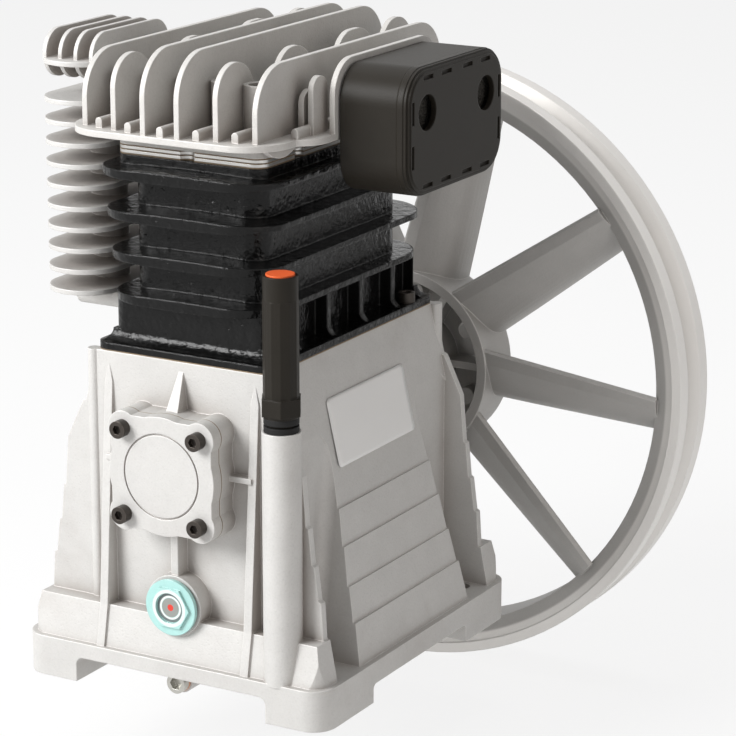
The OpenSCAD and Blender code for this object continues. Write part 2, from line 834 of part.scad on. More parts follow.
module port_holes(z0, z1, x_sign) {
    for (s = cyl_y_share, i = [-1, 0, 1])
        translate([x_sign * chamber_x, s * cyl_pitch + i * port_pitch, z0 - over])
            cylinder(h = z1 - z0 + 2 * over, r = port_d / 2);
}

module lower_gasket() {
    color("saddlebrown") difference() {
        plate_sheet(deck_z, lower_plate_z);
        for (s = cyl_y_share) translate([0, s * cyl_pitch, deck_z - over])
            cylinder(h = gasket_t + 2 * over, r = bore_r + root);
    }
}

module suction_reeds() {
    color("lightsteelblue") along_z(lower_plate_z - reed_t, lower_plate_z)
        for (s = cyl_y_share) translate([chamber_x, s * cyl_pitch])
            rounded_rect(reed_w, reed_l, reed_w * 0.4);
}

module lower_valve_plate() {
    color("gainsboro") difference() {
        plate_sheet(lower_plate_z, lower_plate_z + valve_plate_t);
        for (x = [-1, 1]) port_holes(lower_plate_z, lower_plate_z + valve_plate_t, x);
    }
}

module plate_gasket() {
    z = lower_plate_z + valve_plate_t;
    color("saddlebrown") difference() {
        plate_sheet(z, upper_plate_z);
        along_z(z - over, upper_plate_z + over) for (x = [-1, 1]) chamber_outline(x);
    }
}

module upper_valve_plate() {
    color("gainsboro") difference() {
        plate_sheet(upper_plate_z, head_gasket_z);
        for (x = [-1, 1]) port_holes(upper_plate_z, head_gasket_z, x);
    }
}

module discharge_reeds() {
    color("lightsteelblue") along_z(head_gasket_z, head_gasket_z + reed_t)
        for (s = cyl_y_share) translate([-chamber_x, s * cyl_pitch])
            rounded_rect(reed_w, reed_l, reed_w * 0.4);
}

// Stops that arch over the discharge reeds, resting on their ends
module valve_stops() {
    z = head_gasket_z + reed_t;
    color("slategray") for (s = cyl_y_share) translate([-chamber_x, s * cyl_pitch, z]) difference() {
        along_z(0, valve_stop_t) square([reed_w, reed_l], center = true);
        along_z(-over, valve_stop_t / 2) square([reed_w + 2 * over, reed_l * 0.7], center = true);
    }
}

module head_gasket() {
    color("saddlebrown") difference() {
        plate_sheet(head_gasket_z, head_z);
        along_z(head_gasket_z - over, head_z + over) for (x = [-1, 1]) chamber_outline(x);
    }
}

// Cylinder head

module head_plate_outline() {
    rounded_rect(head_plate_w, head_plate_d, head_plate_r);
    translate([intake_x / 2, 0]) rounded_rect(intake_x, filter_d * 1.5, filter_r);
}

// Fin along Y between two places, with round upper corners
module head_fin(x, y0, y1, h, r) {
    translate([0, 0, head_top_z - root]) along_x(x - head_fin_t / 2, x + head_fin_t / 2)
        arched_rect(y0, y1, h + root, min(r, (y1 - y0) / 2 * 0.98));
}

// Low rounded rib along Y on the broad plate
module head_rib(x, half_d) {
    w = head_fin_t * 1.3;
    translate([x, 0, head_top_z]) along_y(-half_d, half_d) {
        translate([-w / 2, -root]) square([w, w * 0.9 + root]);
        translate([0, w * 0.9]) circle(w / 2);
    }
}

module head_fins() {
    half_d = head_plate_d / 2 - root;
    outer_d = half_d - head_fin_back;
    low_h = head_fin_h - head_fin_drop;
    short_fin_share = [[-0.96, -0.63], [-0.42, -0.07], [0.16, 0.55], [0.63, 0.96]];
    for (x = [-1, 1]) {
        head_fin(x * head_fin_pitch / 2, -half_d, half_d, head_fin_h, head_fin_r);
        head_fin(x * head_fin_pitch * 2.5, -outer_d, outer_d, low_h, head_fin_r);
        for (s = short_fin_share) head_fin(x * head_fin_pitch * 1.5, s[0] * half_d, s[1] * half_d,
            low_h, head_fin_r * 0.7);
        head_rib(x * head_fin_pitch, half_d - head_fin_back * 0.2);
        head_rib(x * head_fin_pitch * 2, half_d - head_fin_back * 0.7);
    }
    head_rib(0, half_d);
    head_rib(head_fin_pitch * 3, filter_d * 0.72);
}

// Wall that carries the air filter, its duct and the two stub fins before it
module intake_wall() {
    wall_h = filter_h * 0.56;
    stub_share = [[0.80, 0.60], [0.88, 0.80]];
    translate([0, filter_y, head_plate_z]) along_x(intake_x - head_fin_t, intake_x)
        arched_rect(-filter_d * 0.53, filter_d * 0.53, wall_h + head_plate_t, filter_r);
    translate([0, filter_y, port_z]) bar_x(intake_port_r + wall_t / 2, 0, intake_x);
    for (s = stub_share) head_fin(intake_x * s[0], -filter_d * 0.6, -filter_d * 0.46, wall_h * s[1],
        filter_r);
}

// Side branch to which the cooler is screwed
module discharge_branch() {
    translate([0, -cooler_y, port_z]) {
        bar_x(branch_r, -branch_x, 0);
        along_x(-branch_x, -branch_x + flange_t) cooler_flange_outline();
    }
}

module cooler_flange_outline() {
    rounded_rect(branch_bolt_pitch + 2 * branch_lug_r, 2 * branch_lug_r, branch_lug_r * 0.9);
    circle(branch_r + root / 3);
}

module branch_screw_places() {
    for (s = [-1, 1]) translate([-branch_x, -cooler_y + s * branch_bolt_pitch / 2, port_z])
        rotate([0, -90, 0]) children();
}

module cylinder_head() {
    tower_top = head_top_z + tower_h;
    color("silver") difference() {
        union() {
            along_z(head_z, head_plate_z + root) rounded_rect(plate_w, plate_d, plate_r);
            along_z(head_plate_z, head_top_z) head_plate_outline();
            head_fins();
            head_screw_places() bar_z(tower_d / 2, head_plate_z, tower_h + head_plate_t);
            intake_wall();
            discharge_branch();
        }
        head_screw_places() {
            bar_z(head_screw_d / 2, head_z - over, tower_top);
            bar_z(head_screw_d, tower_top - head_screw_sink, head_screw_sink + over);
        }
        along_z(head_z - over, head_z + head_body_h * 0.75) for (x = [-1, 1]) chamber_outline(x);
        translate([0, filter_y, port_z]) bar_x(intake_port_r, chamber_x, intake_x + over);
        translate([chamber_x, filter_y, head_z + head_body_h * 0.7])
            cylinder(h = port_z - head_z - head_body_h * 0.7, r = chamber_w * 0.4);
        translate([0, -cooler_y, port_z]) bar_x(discharge_port_r, -branch_x - over, -chamber_x);
        translate([-chamber_x, -cooler_y, head_z + head_body_h * 0.7])
            cylinder(h = port_z - head_z - head_body_h * 0.7, r = discharge_port_r);
        branch_screw_places() bar_z(branch_screw_d / 2, -flange_t - over, flange_t + 2 * over);
        filter_screw_places() bar_z(filter_screw_d / 2, -head_fin_t - over, head_fin_t + 2 * over);
    }
}

module head_screws() {
    seat = head_top_z + tower_h - head_screw_sink;
    color([0.15, 0.15, 0.15]) head_screw_places() translate([0, 0, seat])
        socket_screw(head_screw_d, seat - deck_z + head_screw_grip * 0.9);
}

// Front bearing cover

module cover_screw_places() {
    for (x = [-1, 1], z = [-1, 1])
        translate([x * cover_pitch / 2, cover_face_y, crank_h + z * cover_pitch / 2])
        rotate([90, 0, 0]) children();
}

module cover_gasket() {
    color("saddlebrown") difference() {
        translate([0, 0, crank_h]) along_y(cover_back_y, cover_boss_y) cover_outline();
        translate([0, 0, crank_h]) bar_y(front_bearing_d / 2, cover_back_y - over, cover_boss_y + over);
        cover_screw_places() bar_z(cover_screw_d / 2, -cover_t - 2 * over, 4 * over);
    }
}

module front_cover() {
    color("silver") difference() {
        union() {
            translate([0, 0, crank_h]) along_y(cover_face_y, cover_back_y) cover_outline();
            translate([0, 0, crank_h])
                bar_y(front_bearing_d / 2, cover_back_y - root, cover_back_y + spigot_l);
        }
        translate([0, 0, crank_h])
            bar_y(front_journal_d / 2 + root, cover_back_y, cover_back_y + spigot_l + over);
        translate([0, 0, crank_h]) difference() {
            bar_y(cover_r * 0.72, cover_face_y - over, cover_face_y + cover_groove);
            bar_y(cover_r * 0.72 - cover_groove, cover_face_y - 2 * over, cover_face_y + 2 * over);
        }
        cover_screw_places() bar_z(cover_screw_d / 2, -cover_t - over, cover_t + 2 * over);
    }
}

module cover_screws() {
    color([0.1, 0.1, 0.1]) cover_screw_places() socket_screw(cover_screw_d, cover_screw_l * 0.9);
}

// A ball bearing as its two rings and shields, one solid ring of revolution
module ball_bearing(d_out, d_in, y0, w) {
    shield_in = w * 0.08;
    ring = (d_out - d_in) / 2;
    translate([0, y0, crank_h]) rotate([-90, 0, 0]) rotate_extrude() translate([d_in / 2, 0]) polygon([
        [0, 0], [ring * 0.25, 0], [ring * 0.25, shield_in], [ring * 0.75, shield_in], [ring * 0.75, 0],
        [ring, 0], [ring, w], [ring * 0.75, w], [ring * 0.75, w - shield_in],
        [ring * 0.25, w - shield_in], [ring * 0.25, w], [0, w]
    ]);
}

module front_bearing() {
    color("lightslategray") ball_bearing(front_bearing_d, front_journal_d, front_bearing_y, front_bearing_w);
}

// Rear bearing carrier

module carrier_screw_places() {
    for (i = [0:5]) translate([0, carrier_y + carrier_t, crank_h]) rotate([0, i * 60 + 30, 0])
        translate([carrier_pcd / 2, 0, 0]) rotate([-90, 0, 0]) children();
}

module carrier_gasket() {
    color("saddlebrown") difference() {
        translate([0, 0, crank_h]) bar_y(carrier_d / 2, rear_y, carrier_y);
        translate([0, 0, crank_h]) bar_y(carrier_tube_r, rear_y - over, carrier_y + over);
        carrier_screw_places() bar_z(carrier_screw_d / 2, -carrier_t - 2 * over, 4 * over);
    }
}

module rear_carrier() {
    nose_y = carrier_y + carrier_t + seal_w * 0.5;
    color("silver") difference() {
        translate([0, 0, crank_h]) union() {
            bar_y(carrier_d / 2, carrier_y, carrier_y + carrier_t);
            bar_y(carrier_tube_r, rear_bearing_y - root, carrier_y + root);
            bar_y(seal_d / 2 + wall_t * 0.7, carrier_y, nose_y);
        }
        translate([0, 0, crank_h]) {
            bar_y(rear_bearing_d / 2, rear_bearing_y - over * 2, rear_bearing_y + rear_bearing_w);
            bar_y(rear_journal_d / 2 + root, rear_bearing_y, nose_y + over);
            bar_y(seal_d / 2, nose_y - seal_w, nose_y + over);
        }
        carrier_screw_places() translate([0, 0, -carrier_t - over]) cylinder(h = carrier_t + 2 * over,
            r = carrier_screw_d / 2);
    }
}

module carrier_screws() {
    color([0.1, 0.1, 0.1]) carrier_screw_places() socket_screw(carrier_screw_d, carrier_screw_l * 0.9);
}

module rear_bearing() {
    color("lightslategray") ball_bearing(rear_bearing_d, rear_journal_d, rear_bearing_y, rear_bearing_w);
}

module shaft_seal() {
    nose_y = carrier_y + carrier_t + seal_w * 0.5;
    color([0.12, 0.1, 0.1]) difference() {
        translate([0, 0, crank_h]) bar_y(seal_d / 2, nose_y - seal_w, nose_y);
        translate([0, 0, crank_h]) bar_y(rear_journal_d / 2, nose_y - seal_w - over, nose_y + over);
        translate([0, 0, crank_h]) difference() {
            bar_y(seal_d / 2 * 0.9, nose_y - seal_w * 0.3, nose_y + over);
            bar_y(rear_journal_d / 2 + root, nose_y - seal_w, nose_y + 2 * over);
        }
    }
}

// Oil fittings

module sight_seal() {
    color([0.1, 0.1, 0.1]) translate([0, 0, sight_z]) difference() {
        bar_y(sight_d / 2 * 0.94, sight_seat_y - sight_seal_t, sight_seat_y);
        bar_y(sight_thread_d / 2, sight_seat_y - sight_seal_t - over, sight_seat_y + over);
    }
}

module sight_target() {
    y = sight_seat_y + sight_t;
    color("firebrick") translate([0, 0, sight_z]) bar_y(sight_d * 0.1, y, y + sight_seal_t);
}

// Moulded glass with a hexagon, a round window and a threaded neck behind it
module sight_glass() {
    back_y = sight_seat_y - sight_seal_t;
    color([0.55, 0.85, 0.8, 0.6]) translate([0, 0, sight_z]) difference() {
        union() {
            bar_y(sight_d / 2, back_y - sight_t * 0.6, back_y);
            translate([0, back_y - sight_t * 0.5, 0]) rotate([90, 0, 0])
                cylinder(h = sight_t * 0.5, r = sight_d * 0.4, $fn = 6);
            bar_y(sight_thread_d / 2 - running_fit, back_y - root, sight_seat_y + sight_t);
        }
        bar_y(sight_d * 0.27, back_y - sight_t - over, back_y - sight_t * 0.6);
    }
}

module drain_washer() {
    color("peru") translate([0, 0, drain_z]) difference() {
        bar_y(drain_d / 2 * 0.94, drain_seat_y - sight_seal_t, drain_seat_y);
        bar_y(drain_thread_d / 2, drain_seat_y - sight_seal_t - over, drain_seat_y + over);
    }
}

module drain_plug() {
    head_y = drain_seat_y - sight_seal_t;
    color("gray") translate([0, 0, drain_z]) difference() {
        union() {
            bar_y(drain_d / 2 * 0.92, head_y - drain_head_t, head_y);
            bar_y(drain_thread_d / 2, head_y - root, drain_seat_y + recess_r * 0.6);
        }
        translate([0, head_y - drain_head_t * 0.2, 0]) rotate([90, 0, 0])
            cylinder(h = drain_head_t + over, r = drain_d * 0.3, $fn = 6);
    }
}

// Filler plug: seals, hexagon collar, ribbed tube and cap

module filler_seals() {
    color([0.08, 0.08, 0.08]) for (i = [0, 1])
        translate([filler_x, filler_y, filler_boss_h + i * filler_seal_t * 1.4])
        difference() {
            cylinder(h = filler_seal_t, r = filler_boss_d / 2 * 0.9);
            bar_z(filler_stem_d / 2, -over, filler_seal_t + 2 * over);
        }
}

module filler_tube() {
    collar_z = filler_boss_h + filler_seal_t * 2.8;
    tube_z = collar_z + filler_collar_h;
    joint_share = 0.8;
    color([0.08, 0.08, 0.08]) translate([filler_x, filler_y, 0]) difference() {
        union() {
            translate([0, 0, filler_boss_h - filler_stem_l])
                cylinder(h = filler_stem_l + root + collar_z - filler_boss_h,
                r = filler_stem_d / 2);
            bar_z(filler_boss_d / 2 * 0.75, filler_boss_h + filler_seal_t, filler_seal_t * 0.4);
            bar_z(filler_boss_d / 2 * 0.9, collar_z - filler_seal_t * 0.4, filler_seal_t * 0.4 + root);
            translate([0, 0, collar_z]) cylinder(h = filler_collar_h, r = filler_hex / 2 / cos(30), $fn = 6);
            translate([0, 0, tube_z - root])
                cylinder(h = filler_h * joint_share + root, r = filler_d / 2, $fn = 12);
            bar_z(filler_d / 2 * 0.97, tube_z, filler_h);
        }
        bar_z(filler_d / 2 * 0.8, tube_z + filler_h - filler_cap_t, filler_cap_t + over);
    }
}

module filler_cap() {
    top_z = filler_boss_h + filler_seal_t * 2.8 + filler_collar_h + filler_h;
    color("orangered") translate([filler_x, filler_y, top_z - filler_cap_t])
        cylinder(h = filler_cap_t * 1.3, r = filler_d / 2 * 0.8);
}

// Cooler

module cooler_gasket() {
    color("saddlebrown") difference() {
        translate([0, -cooler_y, port_z]) along_x(-branch_x - gasket_t, -branch_x) cooler_flange_outline();
        translate([0, -cooler_y, port_z])
            bar_x(discharge_port_r, -branch_x - gasket_t - over, -branch_x + over);
        branch_screw_places() bar_z(branch_screw_d / 2, -over, gasket_t + 2 * over);
    }
}

module cooler_plate_outline() {
    rounded_rect(cooler_w, cooler_l, cooler_w / 2 * 0.98);
}

module cooler() {
    top_z = port_z + cooler_branch_h;
    flange_x = -branch_x - gasket_t;
    low_z = top_z - cooler_branch_h * 2 - (cooler_plates - 1) * cooler_pitch;
    outlet_r = outlet_d / 2 + outlet_wall;
    outlet_x = -cooler_x - outlet_reach;
    color("silver") difference() {
        union() {
            translate([-cooler_x, -cooler_y, 0]) {
                for (i = [0:cooler_plates - 1]) translate([0, 0, low_z + i * cooler_pitch])
                    along_z(0, cooler_t) cooler_plate_outline();
                along_z(top_z, top_z + cooler_t) cooler_plate_outline();
                bar_z(cooler_pipe_d / 2, low_z - outlet_r, top_z - low_z + outlet_r + root);
                for (i = [-1.5:1.5]) translate([i * cooler_w * 0.24, 0, top_z + cooler_t - root])
                    along_x(-cooler_t * 0.45, cooler_t * 0.45)
                        arched_rect(-cooler_l * 0.42, cooler_l * 0.42, cooler_fin_h + root,
                            cooler_fin_h * 0.9);
            }
            translate([0, -cooler_y, low_z - outlet_r])
                bar_x(outlet_r, outlet_x, -cooler_x + cooler_pipe_d / 2);
            translate([0, -cooler_y, port_z]) {
                bar_x(branch_r, -cooler_x, flange_x);
                along_x(flange_x - flange_t, flange_x) cooler_flange_outline();
            }
        }
        translate([0, -cooler_y, low_z - outlet_r]) {
            bar_x(outlet_d / 2, outlet_x - over, outlet_x + outlet_depth);
            bar_x(discharge_port_r, outlet_x, -cooler_x);
            translate([-cooler_x, 0, 0]) cylinder(h = port_z - low_z + outlet_r, r = discharge_port_r);
        }
        translate([0, -cooler_y, port_z]) bar_x(discharge_port_r, -cooler_x, flange_x + over);
        branch_screw_places() bar_z(branch_screw_d / 2, gasket_t - over, flange_t + 2 * over);
    }
}

module cooler_screws() {
    color("dimgray") branch_screw_places() translate([0, 0, gasket_t + flange_t])
        hex_screw(branch_screw_d, 2 * flange_t + gasket_t - root);
}

// Air filter

module filter_outline(inset) {
    rounded_rect(filter_d - 2 * inset, filter_h - 2 * inset, filter_r - inset);
}

module filter_screw_places() {
    for (s = [-1, 1]) translate([intake_x, filter_y + s * filter_d * 0.3, port_z]) rotate([0, 90, 0])
        children();
}

module filter_gasket() {
    color([0.1, 0.1, 0.1]) difference() {
        translate([0, filter_y, port_z]) bar_x(intake_port_r + wall_t, intake_x, filter_x);
        translate([0, filter_y, port_z]) bar_x(intake_port_r, intake_x - over, filter_x + over);
    }
}

module filter_body() {
    color([0.07, 0.07, 0.07]) difference() {
        translate([0, filter_y, filter_z]) along_x(filter_x, filter_joint_x) filter_outline(0);
        translate([0, filter_y, filter_z]) along_x(filter_x + filter_wall, filter_joint_x + over)
            filter_outline(filter_wall);
        translate([0, filter_y, port_z]) bar_x(intake_port_r, filter_x - over, filter_joint_x);
        filter_screw_places() translate([0, 0, -over]) cylinder(h = filter_wall + gasket_t + 4 * over,
            r = filter_screw_d / 2);
    }
}

module filter_screws() {
    color("gray") filter_screw_places() translate([0, 0, filter_x - intake_x + filter_wall])
        hex_screw(filter_screw_d, filter_x - intake_x + filter_wall + head_fin_t);
}

module filter_element() {
    inset = filter_wall + free_gap * 2;
    color([0.16, 0.16, 0.15]) translate([0, filter_y, filter_z])
        along_x(filter_joint_x - filter_body_w * 0.6, filter_joint_x) filter_outline(inset);
}

// Cover with its two inlets, a rim of slots and rounded edges
module filter_cover() {
    edge = filter_cover_w * 0.5;
    end_x = filter_joint_x + filter_cover_w;
    slot_y_share = [-0.3, -0.11, 0.11, 0.3];
    color([0.09, 0.09, 0.09]) translate([0, filter_y, filter_z]) difference() {
        union() {
            along_x(filter_joint_x, end_x - edge) filter_outline(0);
            for (i = [1:3]) along_x(end_x - edge - root, end_x - edge * (1 - sin(i * 30)))
                filter_outline(edge * (1 - cos(i * 30)) * 0.9);
        }
        along_x(filter_joint_x - over, filter_joint_x + filter_cover_w * 0.55) filter_outline(filter_wall);
        for (s = [-1, 1]) translate([0, s * inlet_pitch / 2, inlet_z])
            bar_x(inlet_d / 2, filter_joint_x, end_x + over);
        for (s = slot_y_share, z = [-1, 1]) translate([0, s * filter_d, z * filter_h * 0.42])
            along_x(end_x - slot_depth, end_x + over) square([filter_d * 0.1, slot_w], center = true);
        for (s = [-0.17, 0.17], y = [-1, 1]) translate([0, y * filter_d * 0.45, s * filter_h])
            along_x(end_x - slot_depth, end_x + over) square([slot_w, filter_h * 0.18], center = true);
    }
}

// Crank

module crank_web(y0, side) {
    translate([0, y0, crank_h]) rotate([90, 0, 0]) translate([0, 0, -web_t]) linear_extrude(web_t) {
        translate([0, side * throw]) circle(crankpin_d * 0.75);
        translate([-crankpin_d * 0.75, side > 0 ? 0 : -throw]) square([crankpin_d * 1.5, throw]);
        intersection() {
            circle(weight_r);
            translate([-weight_r, side > 0 ? -weight_r : 0]) square([2 * weight_r, weight_r]);
        }
        circle(crankpin_d * 0.75);
    }
}

module crankshaft() {
    half_gap = big_end_w / 2 + web_side_gap;
    outer_y = cyl_pitch / 2 + half_gap + web_t;
    key_y = hub_y1 - key_l;
    color("slategray") difference() {
        union() {
            for (i = [0, 1]) {
                side = 1 - 2 * i;
                y = cyl_y_share[i] * cyl_pitch;
                crank_web(y - half_gap - web_t, side);
                crank_web(y + half_gap, side);
            }
            translate([0, 0, crank_h]) {
                bar_y(rear_journal_d / 2, -cyl_pitch / 2 + half_gap + root, cyl_pitch / 2 - half_gap - root);
                bar_y(front_journal_d * 0.62, front_bearing_y + front_bearing_w + free_gap, -outer_y + root);
                bar_y(front_journal_d / 2 - running_fit, front_bearing_y - spigot_l / 2, -outer_y + root);
                bar_y(rear_journal_d * 0.6, outer_y - root, rear_bearing_y - free_gap);
                bar_y(rear_journal_d / 2 - running_fit, outer_y - root, hub_y0);
                bar_y(shaft_d / 2, hub_y0 - root, hub_y1 - root);
            }
        }
        translate([0, 0, crank_h]) bar_y(bolt_d / 2, hub_y1 - bolt_l, hub_y1 + over);
        translate([-key_w / 2, key_y, crank_h + shaft_d / 2 - key_h / 2]) cube([key_w, key_l + over, key_h]);
    }
}

// Flywheel

function front_angle(tip, s) = let (
    root_a = tip + blade_sweep,
    x = (1 - s) * blade_r0 * cos(root_a) + s * blade_r1 * cos(tip),
    z = (1 - s) * blade_r0 * sin(root_a) + s * blade_r1 * sin(tip)
) [norm([x, z]), atan2(z, x)];

// Point on a blade at a share s of its length and u of its chord, off its middle by side
function blade_point(tip, s, u, side) = let (
    polar = front_angle(tip, s),
    twist = (1 - s) * blade_twist_hub + s * blade_twist_rim,
    chord = (1 - s) * drum_w * 0.96 + s * (wheel_w - 2 * groove_h * 0.25),
    slope = 3 * twist * pow(1 - u, 2) / chord,
    along = twist * (1 - pow(1 - u, 3)) + side * blade_t / 2 / sqrt(1 + slope * slope),
    depth = chord * u - side * slope * blade_t / 2 / sqrt(1 + slope * slope),
    a = polar[1] - along / polar[0] * 180 / PI
) [polar[0] * cos(a), max(0, min(chord, depth)) + blade_t * 0.1, polar[0] * sin(a)];

module fan_blade(tip) {
    rows = 4;
    cols = 12;
    n = (rows + 1) * (cols + 1);
    function at(i, j, k) = k * n + i * (cols + 1) + j;
    points = [for (k = [0, 1], i = [0:rows], j = [0:cols]) blade_point(tip, i / rows, j / cols, 1 - 2 * k)];
    sheet = [for (i = [0:rows - 1], j = [0:cols - 1]) each [
        [at(i, j, 0), at(i + 1, j, 0), at(i, j + 1, 0)],
        [at(i + 1, j, 0), at(i + 1, j + 1, 0), at(i, j + 1, 0)],
        [at(i, j, 1), at(i, j + 1, 1), at(i + 1, j, 1)],
        [at(i + 1, j, 1), at(i, j + 1, 1), at(i + 1, j + 1, 1)]
    ]];
    ends = [for (j = [0:cols - 1]) each [
        [at(0, j, 0), at(0, j + 1, 0), at(0, j, 1)], [at(0, j + 1, 0), at(0, j + 1, 1), at(0, j, 1)],
        [at(rows, j, 0), at(rows, j, 1), at(rows, j + 1, 0)],
        [at(rows, j + 1, 0), at(rows, j, 1), at(rows, j + 1, 1)]
    ]];
    edges = [for (i = [0:rows - 1]) each [
        [at(i, 0, 0), at(i, 0, 1), at(i + 1, 0, 0)], [at(i + 1, 0, 0), at(i, 0, 1), at(i + 1, 0, 1)],
        [at(i, cols, 0), at(i + 1, cols, 0), at(i, cols, 1)],
        [at(i + 1, cols, 0), at(i + 1, cols, 1), at(i, cols, 1)]
    ]];
    polyhedron(points, concat(sheet, ends, edges));
}

module rim() {
    r = wheel_d / 2;
    land = (wheel_w - groove_w) / 2;
    flat_w = rim_t * 0.35;
    step = rim_t * 0.05;
    cone = rim_t * 0.25;
    rotate([-90, 0, 0]) rotate_extrude($fn = 180) polygon([
        [r - rim_t, cone], [r - flat_w, step], [r - flat_w, 0], [r, 0], [r, land],
        [r - groove_h, land + groove_h * 0.45], [r - groove_h, wheel_w - land - groove_h * 0.45],
        [r, wheel_w - land], [r, wheel_w], [r - flat_w, wheel_w], [r - flat_w, wheel_w - step],
        [r - rim_t, wheel_w - cone]
    ]);
}

// Hub: drum, back wall, boss and the ribs and studs in its pocket
module hub() {
    drum_r = drum_d / 2;
    difference() {
        bar_y(drum_r, 0, drum_w);
        bar_y(drum_r - wall_t * 0.9, -over, drum_w - wall_t);
    }
    bar_y(hub_d / 2, hub_y0 - wheel_y, hub_y1 - wheel_y);
    for (i = [0:5]) rotate([0, i * 60, 0]) {
        translate([0, drum_w * 0.35, -case_rib_t / 2]) cube([drum_r - root, drum_w * 0.6, case_rib_t]);
        rotate([0, 30, 0]) translate([(drum_r + hub_d / 2) / 2, 0, 0])
            bar_y(wall_t * 0.8, drum_w * 0.5, drum_w - root);
    }
}

module flywheel() {
    color("silver") translate([0, wheel_y, crank_h]) difference() {
        union() {
            rim();
            hub();
            for (i = [0:blades - 1]) fan_blade(i * 360 / blades);
        }
        bar_y(shaft_d / 2, hub_y0 - wheel_y - over, hub_y1 - wheel_y + over);
        translate([-key_w / 2, hub_y1 - wheel_y - key_l, shaft_d / 2 - key_h / 2])
            cube([key_w, key_l + over, key_h]);
    }
}

module flywheel_key() {
    color("dimgray") translate([-key_w / 2, hub_y1 - key_l, crank_h + shaft_d / 2 - key_h / 2])
        cube([key_w, key_l, key_h]);
}

module flywheel_washer() {
    color("lightgray") translate([0, 0, crank_h]) difference() {
        bar_y(shaft_d * 0.66, hub_y1, hub_y1 + washer_t);
        bar_y(bolt_d / 2, hub_y1 - over, hub_y1 + washer_t + over);
    }
}

module flywheel_bolt() {
    color("dimgray") translate([0, hub_y1 + washer_t, crank_h]) rotate([-90, 0, 0])
        hex_screw(bolt_d, bolt_l * 0.9);
}

// Connecting rods and pistons, one set for each cylinder

// The crank pin that turns in the rod's big end
module crankpin(i) {
    y = cyl_y_share[i] * cyl_pitch;
    half_l = big_end_w / 2 + web_side_gap - free_gap;
    color("slategray") translate([0, 0, pin_z(i)]) bar_y(crankpin_d / 2, y - half_l, y + half_l);
}

function pin_z(i) = crank_h + (1 - 2 * i) * throw;

// The rod's solid with its bores, before it is parted at the big end
module whole_rod(i) {
    y = cyl_y_share[i] * cyl_pitch;
    half_w = big_end_w / 2;
    small_r = gudgeon_d * 0.85;
    shank = gudgeon_d * 1.1;
    translate([0, y, pin_z(i)]) difference() {
        union() {
            bar_y(big_r, -half_w, half_w);
            translate([0, 0, rod_l]) bar_y(small_r, -half_w * 0.9, half_w * 0.9);
            along_y(-half_w * 0.6, half_w * 0.6) polygon([
                [-shank * 0.62, 0], [shank * 0.62, 0], [shank * 0.42, rod_l], [-shank * 0.42, rod_l]
            ]);
            along_y(-half_w * 0.8, half_w * 0.8)
                square([2 * rod_bolt_x + 2.2 * rod_bolt_d, 2 * rod_reach], center = true);
            along_y(-half_w * 0.3, half_w * 0.3) translate([-rod_bolt_d / 2, -big_r * 1.9])
                square([rod_bolt_d, big_r * 1.2]);
        }
        bar_y(crankpin_d / 2 + running_fit, -half_w - over, half_w + over);
        translate([0, 0, rod_l]) bar_y(gudgeon_d / 2 + running_fit, -half_w - over, half_w + over);
        for (s = [-1, 1]) along_y(s > 0 ? half_w * 0.25 : -half_w, s > 0 ? half_w : -half_w * 0.25) polygon([
            [-shank * 0.3, big_r * 1.15], [shank * 0.3, big_r * 1.15],
            [shank * 0.2, rod_l - small_r * 1.25], [-shank * 0.2, rod_l - small_r * 1.25]
        ]);
        for (s = [-1, 1]) translate([s * rod_bolt_x, 0, -big_r]) {
            cylinder(h = 2 * big_r, r = rod_bolt_d / 2);
            bar_z(rod_bolt_d + free_gap / 2, -big_r, 2 * big_r - rod_reach);
        }
    }
}

module rod(i) {
    size = rod_l + crankpin_d * 2;
    color("darkgray") intersection() {
        whole_rod(i);
        translate([-size / 2, cyl_y_share[i] * cyl_pitch - size / 2, pin_z(i)]) cube(size);
    }
}

module rod_cap(i) {
    size = rod_l + crankpin_d * 2;
    color("gray") intersection() {
        whole_rod(i);
        translate([-size / 2, cyl_y_share[i] * cyl_pitch - size / 2, pin_z(i) - size]) cube(size);
    }
}

module rod_bolts(i) {
    color("dimgray") for (s = [-1, 1])
        translate([s * rod_bolt_x, cyl_y_share[i] * cyl_pitch, pin_z(i) - rod_reach])
            rotate([180, 0, 0]) hex_screw(rod_bolt_d, rod_reach * 2 - root);
}

module gudgeon_pin(i) {
    y = cyl_y_share[i] * cyl_pitch;
    half_l = piston_r * 0.8;
    color("lightgray") translate([0, 0, pin_z(i) + rod_l]) difference() {
        bar_y(gudgeon_d / 2, y - half_l, y + half_l);
        bar_y(gudgeon_d * 0.3, y - half_l - over, y + half_l + over);
    }
}

ring_z_share = [0.2, 0.4, 0.62];

module piston(i) {
    boss_gap = big_end_w * 0.9 + 2 * web_side_gap;
    color("gainsboro") translate([0, cyl_y_share[i] * cyl_pitch, pin_z(i) + rod_l]) difference() {
        bar_z(piston_r, -skirt_h, skirt_h + crown_h);
        difference() {
            bar_z(piston_r - ring_w * 1.8, -skirt_h - over, skirt_h + crown_h * 0.72 + over);
            for (s = [-1, 1]) bar_y(gudgeon_d * 0.8, s > 0 ? boss_gap / 2 : -piston_r,
                s > 0 ? piston_r : -boss_gap / 2);
        }
        bar_y(gudgeon_d / 2, -piston_r - over, piston_r + over);
        for (s = ring_z_share) translate([0, 0, crown_h * (1 - s)]) difference() {
            cylinder(h = ring_h, r = piston_r + over);
            bar_z(piston_r - ring_w, -over, ring_h + 2 * over);
        }
    }
}

module piston_rings(i) {
    color("slategray") translate([0, cyl_y_share[i] * cyl_pitch, pin_z(i) + rod_l])
        for (s = ring_z_share) translate([0, 0, crown_h * (1 - s)]) difference() {
            cylinder(h = ring_h, r = bore_r - running_fit / 2);
            bar_z(piston_r - ring_w, -over, ring_h + 2 * over);
        }
}

